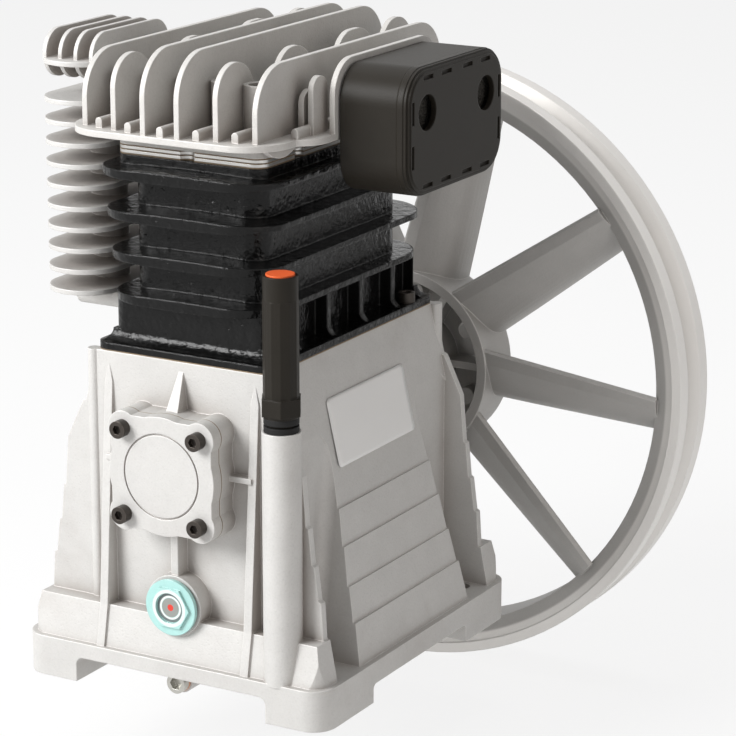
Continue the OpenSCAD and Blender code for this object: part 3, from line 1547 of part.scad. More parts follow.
module crankpin_1() crankpin(0);
module rod_1() rod(0);
module rod_cap_1() rod_cap(0);
module rod_bolts_1() rod_bolts(0);
module gudgeon_pin_1() gudgeon_pin(0);
module piston_1() piston(0);
module piston_rings_1() piston_rings(0);
module crankpin_2() crankpin(1);
module rod_2() rod(1);
module rod_cap_2() rod_cap(1);
module rod_bolts_2() rod_bolts(1);
module gudgeon_pin_2() gudgeon_pin(1);
module piston_2() piston(1);
module piston_rings_2() piston_rings(1);

crankcase();
case_gasket();
cylinder_block();
block_screws();
lower_gasket();
suction_reeds();
lower_valve_plate();
plate_gasket();
upper_valve_plate();
discharge_reeds();
valve_stops();
head_gasket();
cylinder_head();
head_screws();
cover_gasket();
front_cover();
cover_screws();
front_bearing();
carrier_gasket();
rear_carrier();
carrier_screws();
rear_bearing();
shaft_seal();
sight_seal();
sight_target();
sight_glass();
drain_washer();
drain_plug();
filler_seals();
filler_tube();
filler_cap();
cooler_gasket();
cooler();
cooler_screws();
filter_gasket();
filter_body();
filter_screws();
filter_element();
filter_cover();
crankshaft();
flywheel();
flywheel_key();
flywheel_washer();
flywheel_bolt();
crankpin_1();
rod_1();
rod_cap_1();
rod_bolts_1();
gudgeon_pin_1();
piston_1();
piston_rings_1();
crankpin_2();
rod_2();
rod_cap_2();
rod_bolts_2();
gudgeon_pin_2();
piston_2();
piston_rings_2();
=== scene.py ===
"""Looks for a belt-driven twin-cylinder air compressor pump: finishes, label, floor, lamps and camera.

The solids come from the loaded frame and stay as they are. All sizes are in metres, in the frame of the
solids: +Z is up along the cylinders, -Y is the side of the bearing cover, and the origin is the middle of
the four foot bolts.
"""

import json
import math

import bpy
import numpy as np
from bpy.props import FloatProperty, FloatVectorProperty, PointerProperty
from bpy.types import Operator, Panel, PropertyGroup
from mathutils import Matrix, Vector


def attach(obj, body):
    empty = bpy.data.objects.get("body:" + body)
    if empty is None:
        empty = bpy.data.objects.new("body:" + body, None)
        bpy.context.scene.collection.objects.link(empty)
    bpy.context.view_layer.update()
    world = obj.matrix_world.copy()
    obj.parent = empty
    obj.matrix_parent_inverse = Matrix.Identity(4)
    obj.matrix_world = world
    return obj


bl_info = {
    "name": "Air compressor pump looks",
    "version": (1, 0, 0),
    "blender": (4, 5, 0),
    "location": "View3D > Sidebar > Pump",
    "description": "Gives the loaded pump its finishes, its blank data label, a floor, lamps and a camera",
    "category": "Object",
}

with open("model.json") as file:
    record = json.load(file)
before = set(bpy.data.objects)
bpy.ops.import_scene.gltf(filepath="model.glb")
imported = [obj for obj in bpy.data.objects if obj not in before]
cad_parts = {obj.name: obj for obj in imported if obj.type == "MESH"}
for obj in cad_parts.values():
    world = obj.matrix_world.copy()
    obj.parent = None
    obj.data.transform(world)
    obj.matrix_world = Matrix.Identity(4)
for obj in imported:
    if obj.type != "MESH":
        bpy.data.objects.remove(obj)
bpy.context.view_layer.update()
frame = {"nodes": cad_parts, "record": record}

# Height of the crank's axis above the feet
CRANK_HEIGHT = 0.1353
# Radius beyond which the rim is turned bright, and the width over which the cast finish ends
WHEEL_RIM_RADIUS = 0.1802
WHEEL_RIM_BLEND = 0.002
# Height of the sight glass's axis above the feet
SIGHT_HEIGHT = 0.056
# Inner radius, outer radius and colour of each ring round the sight glass's window
SIGHT_RINGS = (
    (0.0089, 0.0109, (0.74, 0.82, 0.8)),
    (0.0069, 0.0086, (0.17, 0.2, 0.2)),
    (0.0058, 0.0069, (0.82, 0.84, 0.82)),
)
# Radii between which the window and its red dot fade out, and their colours
SIGHT_WINDOW = (0.0056, 0.0058, (0.3, 0.31, 0.29))
SIGHT_DOT = (0.0018, 0.0021, (0.72, 0.05, 0.03))
# Width of the soft edge of a ring
RING_EDGE = 0.00025
# Features of the blasted grain in a metre
BLAST_SCALE = 900.0
# Rays that rounded edges and the painted shade in corners take
SHADER_SAMPLES = 6
# Gap between the label and the wall behind it
LABEL_GAP = 0.0001
# Radii of the floor's rings and the number of its sides
FLOOR_RADII = (0.5, 2.0, 14.0)
FLOOR_SIDES = 64
# Share of the floor that the camera sees as plain white, which leaves the rest for the shadow
FLOOR_WHITE = 0.84
# Place of each lamp from the camera's target, and the width of its disc
LAMP_PLACES = {
    "key_lamp": ((-1.35, -1.85, 1.25), 1.4),
    "fill_lamp": ((2.1, -0.9, 0.7), 1.6),
    "top_lamp": ((-0.2, 0.3, 2.2), 1.6),
}
# Width of the camera's sensor in millimetres, and how near and far it sees
SENSOR_WIDTH = 36.0
CAMERA_REACH = (0.05, 60.0)


class Field:
    """A value or colour that varies over a surface. Sums, products and powers of fields add Math nodes."""

    def __init__(self, paint, socket):
        self.paint = paint
        self.socket = socket

    def __add__(self, other):
        return self.paint.math("ADD", self, other)

    def __radd__(self, other):
        return self.paint.math("ADD", other, self)

    def __sub__(self, other):
        return self.paint.math("SUBTRACT", self, other)

    def __rsub__(self, other):
        return self.paint.math("SUBTRACT", other, self)

    def __mul__(self, other):
        return self.paint.math("MULTIPLY", self, other)

    def __rmul__(self, other):
        return self.paint.math("MULTIPLY", other, self)

    def __pow__(self, other):
        return self.paint.math("POWER", self, other)


class Paint:
    """A material or world being built, with one method for any node and short names for common ones."""

    def __init__(self, tree):
        self.tree = tree
        tree.nodes.clear()

    def node(self, kind, settings=None, inputs=None, output=0):
        """Adds a node, sets its settings, then its sockets' values or links. Returns one output."""
        made = self.tree.nodes.new(kind)
        for name, value in (settings or {}).items():
            setattr(made, name, value)
        for name, value in (inputs or {}).items():
            socket = made.inputs[name]
            if isinstance(value, Field):
                self.tree.links.new(value.socket, socket)
            elif hasattr(value, "__len__") and len(value) == 3 and socket.type == "RGBA":
                socket.default_value = (*value, 1.0)
            else:
                socket.default_value = value
        return Field(self, made.outputs[output])

    def math(self, operation, *values):
        return self.node("ShaderNodeMath", {"operation": operation}, dict(enumerate(values)))

    def smooth(self, value, low, high):
        """0 below low, 1 above high, and a smooth step between them."""
        settings = {"interpolation_type": "SMOOTHSTEP"}
        inputs = {"Value": value, "From Min": low, "From Max": high}
        return self.node("ShaderNodeMapRange", settings, inputs)

    def blend(self, mask, first, second, mode="MIX"):
        """Colour first where mask is 0 and second where it is 1."""
        settings = {"data_type": "RGBA", "blend_type": mode}
        return self.node("ShaderNodeMix", settings, {0: mask, 6: first, 7: second}, 2)

    def place(self):
        return self.node("ShaderNodeTexCoord", output="Object")

    def moved(self, shift=(0, 0, 0), scale=(1, 1, 1)):
        """The place on the surface, shifted and then stretched along each axis."""
        shifted = self.node("ShaderNodeVectorMath", {"operation": "SUBTRACT"}, {0: self.place(), 1: shift})
        return self.node("ShaderNodeVectorMath", {"operation": "MULTIPLY"}, {0: shifted, 1: scale})

    def axis(self, place, letter):
        return self.node("ShaderNodeSeparateXYZ", None, {0: place}, letter)

    def noise(self, scale, detail=2.0, roughness=0.5, place=None):
        """Soft cloud noise from 0 to 1; scale is in features per metre."""
        inputs = {"Vector": place or self.place(), "Scale": scale}
        inputs.update(Detail=detail, Roughness=roughness)
        return self.node("ShaderNodeTexNoise", None, inputs, "Fac")

    def ring(self, radius, low, high):
        """1 where a radius lies between low and high, with soft edges."""
        return self.smooth(radius, low, low + RING_EDGE) - self.smooth(radius, high, high + RING_EDGE)

    def cells(self, scale, place=None):
        """Distance to the nearest of scattered points, in cell sizes."""
        inputs = {"Vector": place or self.place(), "Scale": scale}
        return self.node("ShaderNodeTexVoronoi", None, inputs, "Distance")

    def rounded(self, radius):
        """The surface normal with its edges rounded to a radius."""
        return self.node("ShaderNodeBevel", {"samples": SHADER_SAMPLES}, {"Radius": radius})

    def edges(self, radius):
        """1 on sharp edges, 0 on flat ground, by how far the rounded normal leans from the true one."""
        true_normal = self.node("ShaderNodeNewGeometry", output="Normal")
        inputs = {0: self.rounded(radius), 1: true_normal}
        lean = self.node("ShaderNodeVectorMath", {"operation": "DOT_PRODUCT"}, inputs, 1)
        return self.smooth(1.0 - lean, 0.01, 0.22)

    def hollow_shade(self, distance):
        """Mask for painted shade: 1 deep in corners and 0 on open ground."""
        settings = {"samples": SHADER_SAMPLES, "only_local": True}
        return 1.0 - self.node("ShaderNodeAmbientOcclusion", settings, {"Distance": distance}, "AO")

    def relief(self, height, distance, strength=1.0, under=None):
        """Fine relief: height from 0 to 1 stands for the given depth in metres."""
        inputs = {"Height": height, "Distance": distance, "Strength": strength}
        if under is not None:
            inputs["Normal"] = under
        return self.node("ShaderNodeBump", None, inputs)

    def shade(self, **sockets):
        """Ends a material in one Principled surface. Socket names have underscores for spaces."""
        inputs = {name.replace("_", " "): value for name, value in sockets.items()}
        surface = self.node("ShaderNodeBsdfPrincipled", None, inputs)
        self.node_output(surface)

    def node_output(self, surface, kind="ShaderNodeOutputMaterial"):
        end = self.tree.nodes.new(kind)
        self.tree.links.new(surface.socket, end.inputs["Surface"])


def new_paint(name):
    material = bpy.data.materials.new(name)
    material.use_nodes = True
    return material, Paint(material.node_tree)


def brighter(colour, factor):
    """The colour times a factor, with no channel past white."""
    return tuple(min(channel * factor, 1.0) for channel in colour)


def nodes_of(slot_name):
    """The solids that the record gives one material slot."""
    rows = frame["record"]["subparts"]
    return [row["node"] for row in rows if row["material_slot"] == slot_name]


def dress(names, material):
    """Puts a material into every slot of the named solids."""
    for name in names:
        solid = frame["nodes"][name]
        if not solid.material_slots:
            solid.data.materials.append(material)
        for place in solid.material_slots:
            place.material = material


def cast_aluminium(name, colour, grain, wear_and_highlight, tone=1.0):
    """Shot-blasted casting: peened grain, cloudy tone, stains, browner painted shade in corners, edges rubbed
    bright with a painted highlight.
    """
    material, paint = new_paint(name)
    cloud = paint.noise(38.0, 4.0, 0.6)
    speck = paint.noise(BLAST_SCALE, 2.0, 0.6)
    flake = paint.smooth(paint.cells(520.0), 0.0, 0.42)
    edge = paint.edges(0.0011)
    # Painted shade: ambient occlusion finds the corners, which are darkened to a brownish tone further down
    dull = paint.smooth(paint.hollow_shade(0.016), 0.08, 0.8)
    stain = paint.smooth(paint.noise(16.0, 5.0, 0.65), 0.5, 0.78)
    # Brownish tone of the random stains and of the painted shade in corners
    stain_and_shade_brown = (0.30 * tone, 0.262 * tone, 0.235 * tone)
    ground = paint.blend(cloud, brighter(colour, 0.86 * tone), brighter(colour, 1.05 * tone))
    ground = paint.blend(speck * 0.3, ground, brighter(colour, 0.55 * tone))
    ground = paint.blend((1.0 - flake) * 0.25, ground, brighter(colour, 0.7 * tone))
    ground = paint.blend(stain * 0.22, ground, stain_and_shade_brown)
    # Painted shade: corners darkened towards the brownish tone
    ground = paint.blend(dull * 0.72, ground, stain_and_shade_brown)
    # Painted highlight, partly also rubbing: edges made lighter by the edge mask
    ground = paint.blend(edge * wear_and_highlight, ground, brighter(colour, 1.35 * tone))
    peened = paint.relief(speck * 0.6 + flake * 0.4, grain, 1.0, paint.rounded(0.0009))
    wavy = paint.relief(paint.noise(120.0, 3.0, 0.5), grain * 1.8, 0.8, peened)
    paint.shade(Base_Color=ground, Metallic=0.2, Roughness=0.55 - edge * 0.18 + speck * 0.1, Normal=wavy)
    return material


def turned_wheel(name, colour, grain, wear_and_highlight):
    """Cast spokes with a rim turned bright on a lathe: fine rings beyond a set distance from the shaft."""
    material, paint = new_paint(name)
    centred = paint.moved((0, 0, CRANK_HEIGHT))
    across, along, up = (paint.axis(centred, letter) for letter in "XYZ")
    radius = (across * across + up * up) ** 0.5
    turned = paint.smooth(radius, WHEEL_RIM_RADIUS, WHEEL_RIM_RADIUS + WHEEL_RIM_BLEND)
    marks = {"W": (radius + along) * 2200.0, "Detail": 2.0}
    rings = paint.node("ShaderNodeTexNoise", {"noise_dimensions": "1D"}, marks, "Fac")
    speck = paint.noise(BLAST_SCALE, 2.0, 0.6)
    cloud = paint.noise(30.0, 4.0, 0.6)
    edge = paint.edges(0.0012)
    # Painted shade: ambient occlusion finds the corners, which are darkened further down
    dull = paint.smooth(paint.hollow_shade(0.014), 0.12, 0.85)
    cast = paint.blend(cloud, brighter(colour, 0.72), brighter(colour, 0.9))
    cast = paint.blend(speck * 0.25, cast, brighter(colour, 0.5))
    bright = paint.blend(rings, brighter(colour, 1.15), brighter(colour, 1.5))
    ground = paint.blend(turned, cast, bright)
    # Painted shade: corners darkened
    ground = paint.blend(dull * 0.45, ground, brighter(colour, 0.42))
    # Painted highlight, partly also rubbing: edges made lighter
    ground = paint.blend(edge * wear_and_highlight, ground, brighter(colour, 1.3))
    height = speck * (1.0 - turned) + rings * turned * 0.35
    relief = paint.relief(height, grain, 0.9, paint.rounded(0.0012))
    paint.shade(
        Base_Color=ground,
        Metallic=0.4 + turned * 0.2,
        Roughness=0.54 - turned * 0.14 - edge * 0.12 + speck * 0.06,
        Normal=relief,
    )
    return material


def painted_iron(name, colour, lumps):
    """Glossy black paint over a rough sand casting: lumps a few millimetres across under a smooth coat."""
    material, paint = new_paint(name)
    coarse = paint.noise(150.0, 3.0, 0.55)
    fine = paint.noise(520.0, 3.0, 0.6)
    pits = paint.smooth(paint.cells(260.0), 0.0, 0.5)
    dust = paint.smooth(paint.noise(45.0, 5.0, 0.65), 0.55, 0.8)
    edge = paint.edges(0.0014)
    ground = paint.blend(dust * 0.3, colour, brighter(colour, 2.2))
    ground = paint.blend(edge * 0.2, ground, brighter(colour, 4.0))
    relief = paint.relief(coarse * 0.7 + fine * 0.18 + pits * 0.12, lumps, 1.0, paint.rounded(0.0016))
    rough = 0.13 + dust * 0.2 + fine * 0.07
    paint.shade(Base_Color=ground, Roughness=rough, Normal=relief, Specular_IOR_Level=0.22)
    return material


def gasket_sheet(name, colour):
    """Pressed fibre sheet: short brown fibres with a slightly oily edge."""
    material, paint = new_paint(name)
    fibre = paint.noise(900.0, 4.0, 0.7, paint.moved(scale=(1.0, 0.35, 1.0)))
    oil = paint.smooth(paint.noise(60.0, 3.0, 0.5), 0.45, 0.7)
    ground = paint.blend(fibre, brighter(colour, 0.6), brighter(colour, 1.35))
    ground = paint.blend(oil * 0.5, ground, brighter(colour, 0.5))
    paint.shade(Base_Color=ground, Roughness=0.85 - oil * 0.3, Normal=paint.relief(fibre, 0.00012))
    return material


def ground_steel(name, colour, roughness, lay=(1.0, 1.0, 1.0), scale=700.0, metallic=1.0, edge_gain=1.25):
    """Machined or plated steel: fine marks stretched along the lay, a cloudy bloom and bright edges."""
    material, paint = new_paint(name)
    marks = paint.noise(scale, 3.0, 0.6, paint.moved(scale=lay))
    bloom = paint.noise(70.0, 4.0, 0.6)
    edge = paint.edges(0.0005)
    ground = paint.blend(bloom, brighter(colour, 0.82), brighter(colour, 1.08))
    ground = paint.blend(marks * 0.3, ground, brighter(colour, 0.7))
    ground = paint.blend(edge * 0.6, ground, brighter(colour, edge_gain))
    relief = paint.relief(marks, 0.00004, 1.0, paint.rounded(0.0004))
    rough = marks * 0.12 + bloom * 0.08 + roughness
    paint.shade(Base_Color=ground, Metallic=metallic, Roughness=rough, Normal=relief)
    return material


def moulded_plastic(name, colour, roughness, grain=0.00005, sheen=1.6):
    """Fine-grained moulding: spark-eroded texture, slightly worn along its edges."""
    material, paint = new_paint(name)
    texture = paint.noise(1400.0, 2.0, 0.5)
    haze = paint.noise(50.0, 4.0, 0.6)
    edge = paint.edges(0.0009)
    ground = paint.blend(haze * 0.5, colour, brighter(colour, sheen))
    ground = paint.blend(edge * 0.35, ground, brighter(colour, 1.0 + sheen))
    relief = paint.relief(texture, grain, 1.0, paint.rounded(0.001))
    rough = roughness + texture * 0.1 - edge * 0.08
    paint.shade(Base_Color=ground, Roughness=rough, Normal=relief, Specular_IOR_Level=0.16)
    return material


def sight_lens(name, colour):
    """Tinted moulding with pale, grey and white rings round its window, and the window's red dot."""
    material, paint = new_paint(name)
    centred = paint.moved((0, 0, SIGHT_HEIGHT))
    across, up = paint.axis(centred, "X"), paint.axis(centred, "Z")
    radius = (across * across + up * up) ** 0.5
    swirl = paint.noise(180.0, 3.0, 0.6)
    ground = paint.blend(swirl * 0.5, colour, brighter(colour, 1.25))
    for inner, outer, tone in SIGHT_RINGS:
        ground = paint.blend(paint.ring(radius, inner, outer), ground, tone)
    for inner, outer, tone in (SIGHT_WINDOW, SIGHT_DOT):
        ground = paint.blend(1.0 - paint.smooth(radius, inner, outer), ground, tone)
    paint.shade(
        Base_Color=ground,
        Roughness=swirl * 0.1 + 0.08,
        Transmission_Weight=0.12,
        IOR=1.49,
        Normal=paint.relief(swirl, 0.0003, 0.6, paint.rounded(0.0006)),
    )
    return material


def open_foam(name, colour):
    """Dark filter foam: open cells a millimetre across, torn at the surface."""
    material, paint = new_paint(name)
    cell = paint.smooth(paint.cells(1100.0), 0.1, 0.6)
    cloud = paint.noise(60.0, 3.0, 0.6)
    ground = paint.blend(cell, brighter(colour, 0.25), brighter(colour, 1.3))
    ground = paint.blend(cloud * 0.3, ground, brighter(colour, 0.6))
    torn = paint.relief(cell, 0.0008)
    paint.shade(Base_Color=ground, Roughness=0.95, Normal=torn, Specular_IOR_Level=0.2)
    return material


def label_paper(name, colour):
    """Satin paper, left blank: fine fibres and a faint cloudiness in its white."""
    material, paint = new_paint(name)
    fibre = paint.noise(2500.0, 3.0, 0.6)
    haze = paint.noise(30.0, 3.0, 0.5)
    ground = paint.blend(haze, brighter(colour, 0.95), colour)
    paint.shade(Base_Color=ground, Roughness=0.38 + fibre * 0.1, Normal=paint.relief(fibre, 0.00002, 0.6))
    return material


def ring_faces(rings, across):
    """Quads between nested rings of points, and the fan from the last point to the innermost ring."""
    ring, step = np.meshgrid(np.arange(rings), np.arange(across), indexing="ij")
    following = (step + 1) % across
    inner, outer = ring * across, (ring + 1) * across
    quads = np.stack([inner + step, outer + step, outer + following, inner + following], 2)
    steps = np.arange(across)
    fan = np.stack([np.full(across, (rings + 1) * across), steps, (steps + 1) % across], 1)
    return quads.reshape(-1, 4), fan


def rounded_card(width, height, corner, thickness, across=96, rings=10):
    """A card with rounded corners, as (points, faces) flat in its own plane.

    The first parameter t turns round the card. Its rim is (sign(cos t) a + r cos t, sign(sin t) b + r sin t),
    where a and b are the half sides less the corner radius r. The second parameter runs from the middle to
    the rim, where the face rolls down by the thickness.
    """
    turn = (np.arange(across) + 0.5) * 2.0 * np.pi / across
    side_x, side_y = width / 2 - corner, height / 2 - corner
    cos, sin = np.cos(turn), np.sin(turn)
    rim = np.stack([np.sign(cos) * side_x + corner * cos, np.sign(sin) * side_y + corner * sin], 1)
    share = np.concatenate([np.linspace(0.0, 1.0, rings + 1)[1:], [1.0]])
    drop = np.concatenate([np.zeros(rings - 1), [0.25 * thickness, thickness]])
    height_of = np.broadcast_to((thickness - drop)[:, None, None], (rings + 1, across, 1))
    points = np.concatenate([share[:, None, None] * rim[None], height_of], 2)
    points = np.concatenate([points.reshape(-1, 3), [[0.0, 0.0, thickness]]])
    return points, *ring_faces(rings, across)


def new_piece(name, points, faces, material, body, smooth=True):
    """A mesh object at the origin with its place in its points, riding on a body of the frame."""
    mesh = bpy.data.meshes.new(name)
    mesh.from_pydata(points.tolist(), [], [face for group in faces for face in group.tolist()])
    mesh.polygons.foreach_set("use_smooth", np.full(len(mesh.polygons), smooth))
    mesh.materials.append(material)
    mesh.update()
    piece = bpy.data.objects.new(name, mesh)
    bpy.context.scene.collection.objects.link(piece)
    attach(piece, body)
    return piece


class PumpFinish(PropertyGroup):
    """Colours of the finishes, how rough and worn they are, and their painted edge highlight."""

    casting: FloatVectorProperty(
        name="Casting", description="Bare aluminium of the case and covers",
        subtype="COLOR", default=(0.62, 0.61, 0.592), min=0, max=1,
    )
    head: FloatVectorProperty(
        name="Head", description="Bare aluminium of the cylinder head",
        subtype="COLOR", default=(0.65, 0.635, 0.61), min=0, max=1,
    )
    wheel: FloatVectorProperty(
        name="Wheel", description="Aluminium of the flywheel",
        subtype="COLOR", default=(0.57, 0.555, 0.535), min=0, max=1,
    )
    block: FloatVectorProperty(
        name="Block", description="Paint of the cylinder block",
        subtype="COLOR", default=(0.0045, 0.0045, 0.0045), min=0, max=1,
    )
    plastic: FloatVectorProperty(
        name="Plastic", description="Moulded filter and filler tube",
        subtype="COLOR", default=(0.014, 0.0118, 0.0088), min=0, max=1,
    )
    cap: FloatVectorProperty(
        name="Cap", description="Top of the filler cap",
        subtype="COLOR", default=(0.78, 0.13, 0.04), min=0, max=1,
    )
    lens: FloatVectorProperty(
        name="Sight glass", description="Tint of the oil sight glass",
        subtype="COLOR", default=(0.4, 0.66, 0.63), min=0, max=1,
    )
    gasket: FloatVectorProperty(
        name="Gasket", description="Fibre sheet of the gaskets",
        subtype="COLOR", default=(0.22, 0.16, 0.1), min=0, max=1,
    )
    grain: FloatProperty(
        name="Grain", description="Depth of the blasted grain",
        unit="LENGTH", default=0.00016, min=0.0, max=0.001,
    )
    lumps: FloatProperty(
        name="Lumps", description="Depth of the lumps under the block's paint",
        unit="LENGTH", default=0.0014, min=0.0, max=0.004,
    )
    # Lightens the edges of the aluminium parts: partly rubbing, partly a painted highlight
    wear_and_highlight: FloatProperty(
        name="Edge wear", description="How bright edges are rubbed",
        subtype="FACTOR", default=0.6, min=0.0, max=1.0,
    )


class LabelSizes(PropertyGroup):
    """Size and place of the blank data label on the slanted side of the case."""

    width: FloatProperty(
        name="Width", description="Length of the label along the case", unit="LENGTH", default=0.088,
        min=0.04, max=0.12,
    )
    height: FloatProperty(
        name="Height", description="Height of the label up the slanted wall", unit="LENGTH",
        default=0.040, min=0.02, max=0.06,
    )
    corner: FloatProperty(
        name="Corner", description="Radius of the label's corners", unit="LENGTH", default=0.003,
        min=0.001, max=0.01,
    )
    thickness: FloatProperty(
        name="Thickness", description="How far the label stands off the wall", unit="LENGTH",
        default=0.0003, min=0.0001, max=0.001,
    )
    centre_y: FloatProperty(
        name="Centre Y", description="Middle of the label along the case", unit="LENGTH",
        default=-0.0005, min=-0.05, max=0.05,
    )
    centre_z: FloatProperty(
        name="Centre Z", description="Middle of the label above the feet", unit="LENGTH",
        default=0.1515, min=0.1, max=0.18,
    )
    wall_x: FloatProperty(
        name="Wall at the top", description="Half width of the case at its top edge", unit="LENGTH",
        default=0.058, min=0.04, max=0.08,
    )
    wall_top: FloatProperty(
        name="Top of the wall", description="Height of the case's top edge", unit="LENGTH",
        default=0.1962, min=0.15, max=0.25,
    )
    slope: FloatProperty(
        name="Slope", description="How far the wall leans out for each metre down", default=0.2294,
        min=0.0, max=0.5,
    )
    paper: FloatVectorProperty(
        name="Paper", description="Colour of the label", subtype="COLOR", default=(0.92, 0.92, 0.91),
        min=0, max=1,
    )


class StudioSetup(PropertyGroup):
    """Camera, lamps and floor."""

    camera: FloatVectorProperty(
        name="Camera", description="Place of the camera", subtype="XYZ", unit="LENGTH",
        default=(0.88625, -1.43548, 0.64496),
    )
    target: FloatVectorProperty(
        name="Target", description="Point in the middle of the picture", subtype="XYZ",
        unit="LENGTH", default=(0.07867, -0.0225, 0.18625),
    )
    lens: FloatProperty(
        name="Lens", description="Focal length on a 36 mm sensor, in millimetres", default=146.57,
        min=20.0, max=300.0,
    )
    key_power: FloatProperty(
        name="Key lamp", description="Power of the large lamp in front on the left", unit="POWER",
        default=84.0, min=0.0, max=500.0,
    )
    fill_power: FloatProperty(
        name="Fill lamp", description="Power of the weak lamp on the right", unit="POWER",
        default=7.0, min=0.0, max=500.0,
    )
    fill_tint: FloatVectorProperty(
        name="Fill colour", description="Warm colour of the weak lamp on the right", subtype="COLOR",
        default=(1.0, 0.88, 0.8), min=0, max=1,
    )
    top_power: FloatProperty(
        name="Top lamp", description="Power of the lamp overhead", unit="POWER", default=16.0,
        min=0.0, max=500.0,
    )
    ambient: FloatProperty(
        name="Ambient", description="Strength of the surroundings on dull surfaces", default=0.23,
        min=0.0, max=1.0,
    )
    floor_z: FloatProperty(
        name="Floor", description="Height of the floor, just under the wheel", unit="LENGTH",
        default=-0.0575, min=-0.5, max=0.0,
    )
    floor: FloatVectorProperty(
        name="Floor colour", description="Colour of the floor", subtype="COLOR",
        default=(0.9, 0.9, 0.9), min=0, max=1,
    )


class PumpOperator(Operator):
    """Common options of the pump's operators."""

    bl_options = {"REGISTER", "UNDO"}


class PUMP_OT_dress_castings(PumpOperator):
    """Blasted aluminium on the case, covers, cooler and head"""

    bl_idname = "pump.dress_castings"
    bl_label = "Aluminium castings"

    def execute(self, context):
        finish = context.scene.pump_finish
        casting = cast_aluminium("blasted_casting", tuple(finish.casting), finish.grain, finish.wear_and_highlight)
        dress(nodes_of("cast_aluminium"), casting)
        head = cast_aluminium("head_casting", tuple(finish.head), finish.grain, finish.wear_and_highlight, 0.95)
        dress(nodes_of("head_aluminium"), head)
        return {"FINISHED"}


class PUMP_OT_dress_wheel(PumpOperator):
    """Cast spokes and turned rim of the flywheel"""

    bl_idname = "pump.dress_wheel"
    bl_label = "Flywheel"

    def execute(self, context):
        finish = context.scene.pump_finish
        material = turned_wheel("turned_wheel", tuple(finish.wheel), finish.grain, finish.wear_and_highlight)
        dress(nodes_of("wheel_aluminium"), material)
        return {"FINISHED"}


class PUMP_OT_dress_block(PumpOperator):
    """Black paint over the rough iron of the cylinder block"""

    bl_idname = "pump.dress_block"
    bl_label = "Cylinder block"

    def execute(self, context):
        finish = context.scene.pump_finish
        dress(nodes_of("black_cast_iron"), painted_iron("painted_iron", tuple(finish.block), finish.lumps))
        return {"FINISHED"}


class PUMP_OT_dress_seals(PumpOperator):
    """Fibre gaskets, rubber seals and the copper washer"""

    bl_idname = "pump.dress_seals"
    bl_label = "Gaskets and seals"

    def execute(self, context):
        finish = context.scene.pump_finish
        dress(nodes_of("gasket_paper"), gasket_sheet("gasket_fibre", tuple(finish.gasket)))
        rubber = moulded_plastic("seal_rubber", (0.016, 0.016, 0.016), 0.62, 0.00003, 1.4)
        dress(nodes_of("black_rubber"), rubber)
        dress(nodes_of("copper_washer"), ground_steel("annealed_copper", (0.72, 0.38, 0.24), 0.34))
        return {"FINISHED"}


class PUMP_OT_dress_steel(PumpOperator):
    """Valve plates, reeds, screws, shaft, rods and pistons"""

    bl_idname = "pump.dress_steel"
    bl_label = "Steel and machined parts"

    def execute(self, context):
        finishes = {
            "ground_steel": ground_steel("ground_plate", (0.6, 0.59, 0.57), 0.26, (0.15, 0.15, 4.0)),
            "spring_steel": ground_steel("spring_strip", (0.42, 0.44, 0.48), 0.2, (0.2, 1.0, 1.0)),
            "black_steel": ground_steel(
                "black_oxide", (0.05, 0.042, 0.036), 0.34, metallic=0.6, edge_gain=4.0,
            ),
            "zinc_steel": ground_steel("zinc_plate", (0.55, 0.54, 0.5), 0.3),
            "forged_steel": ground_steel("forged_shaft", (0.34, 0.33, 0.32), 0.42, scale=300.0),
            "rod_aluminium": ground_steel("machined_alloy", (0.66, 0.655, 0.64), 0.36, (1.0, 1.0, 3.0)),
        }
        for slot_name, material in finishes.items():
            dress(nodes_of(slot_name), material)
        return {"FINISHED"}


class PUMP_OT_dress_mouldings(PumpOperator):
    """Filter, filler tube and cap, and the filter foam"""

    bl_idname = "pump.dress_mouldings"
    bl_label = "Plastic parts"

    def execute(self, context):
        finish = context.scene.pump_finish
        dress(nodes_of("black_plastic"), moulded_plastic("black_moulding", tuple(finish.plastic), 0.42))
        orange = moulded_plastic("orange_moulding", tuple(finish.cap), 0.4, sheen=1.15)
        dress(nodes_of("orange_plastic"), orange)
        dress(nodes_of("filter_foam"), open_foam("open_foam", (0.06, 0.058, 0.052)))
        return {"FINISHED"}


class PUMP_OT_dress_sight_glass(PumpOperator):
    """Tinted lens and red level dot"""

    bl_idname = "pump.dress_sight_glass"
    bl_label = "Oil sight glass"

    def execute(self, context):
        finish = context.scene.pump_finish
        dress(nodes_of("sight_clear"), sight_lens("tinted_lens", tuple(finish.lens)))
        dress(nodes_of("red_plastic"), moulded_plastic("red_dot", (0.72, 0.07, 0.03), 0.35, sheen=1.2))
        return {"FINISHED"}


class PUMP_OT_add_label(PumpOperator):
    """Blank data label on the slanted side of the case"""

    bl_idname = "pump.add_label"
    bl_label = "Data label"

    def execute(self, context):
        size = context.scene.pump_label
        points, quads, fan = rounded_card(size.width, size.height, size.corner, size.thickness)
        lean = math.hypot(1.0, size.slope)
        along = np.array([0.0, 1.0, 0.0])
        upward = np.array([-size.slope, 0.0, 1.0]) / lean
        outward = np.array([1.0, 0.0, size.slope]) / lean
        centre_x = size.wall_x + (size.wall_top - size.centre_z) * size.slope
        centre = np.array([centre_x, size.centre_y, size.centre_z])
        placed = centre + points @ np.stack([along, upward, outward]) + outward * LABEL_GAP
        paper = label_paper("label_paper", tuple(size.paper))
        new_piece("data_label", placed, (quads, fan), paper, "pump")
        return {"FINISHED"}


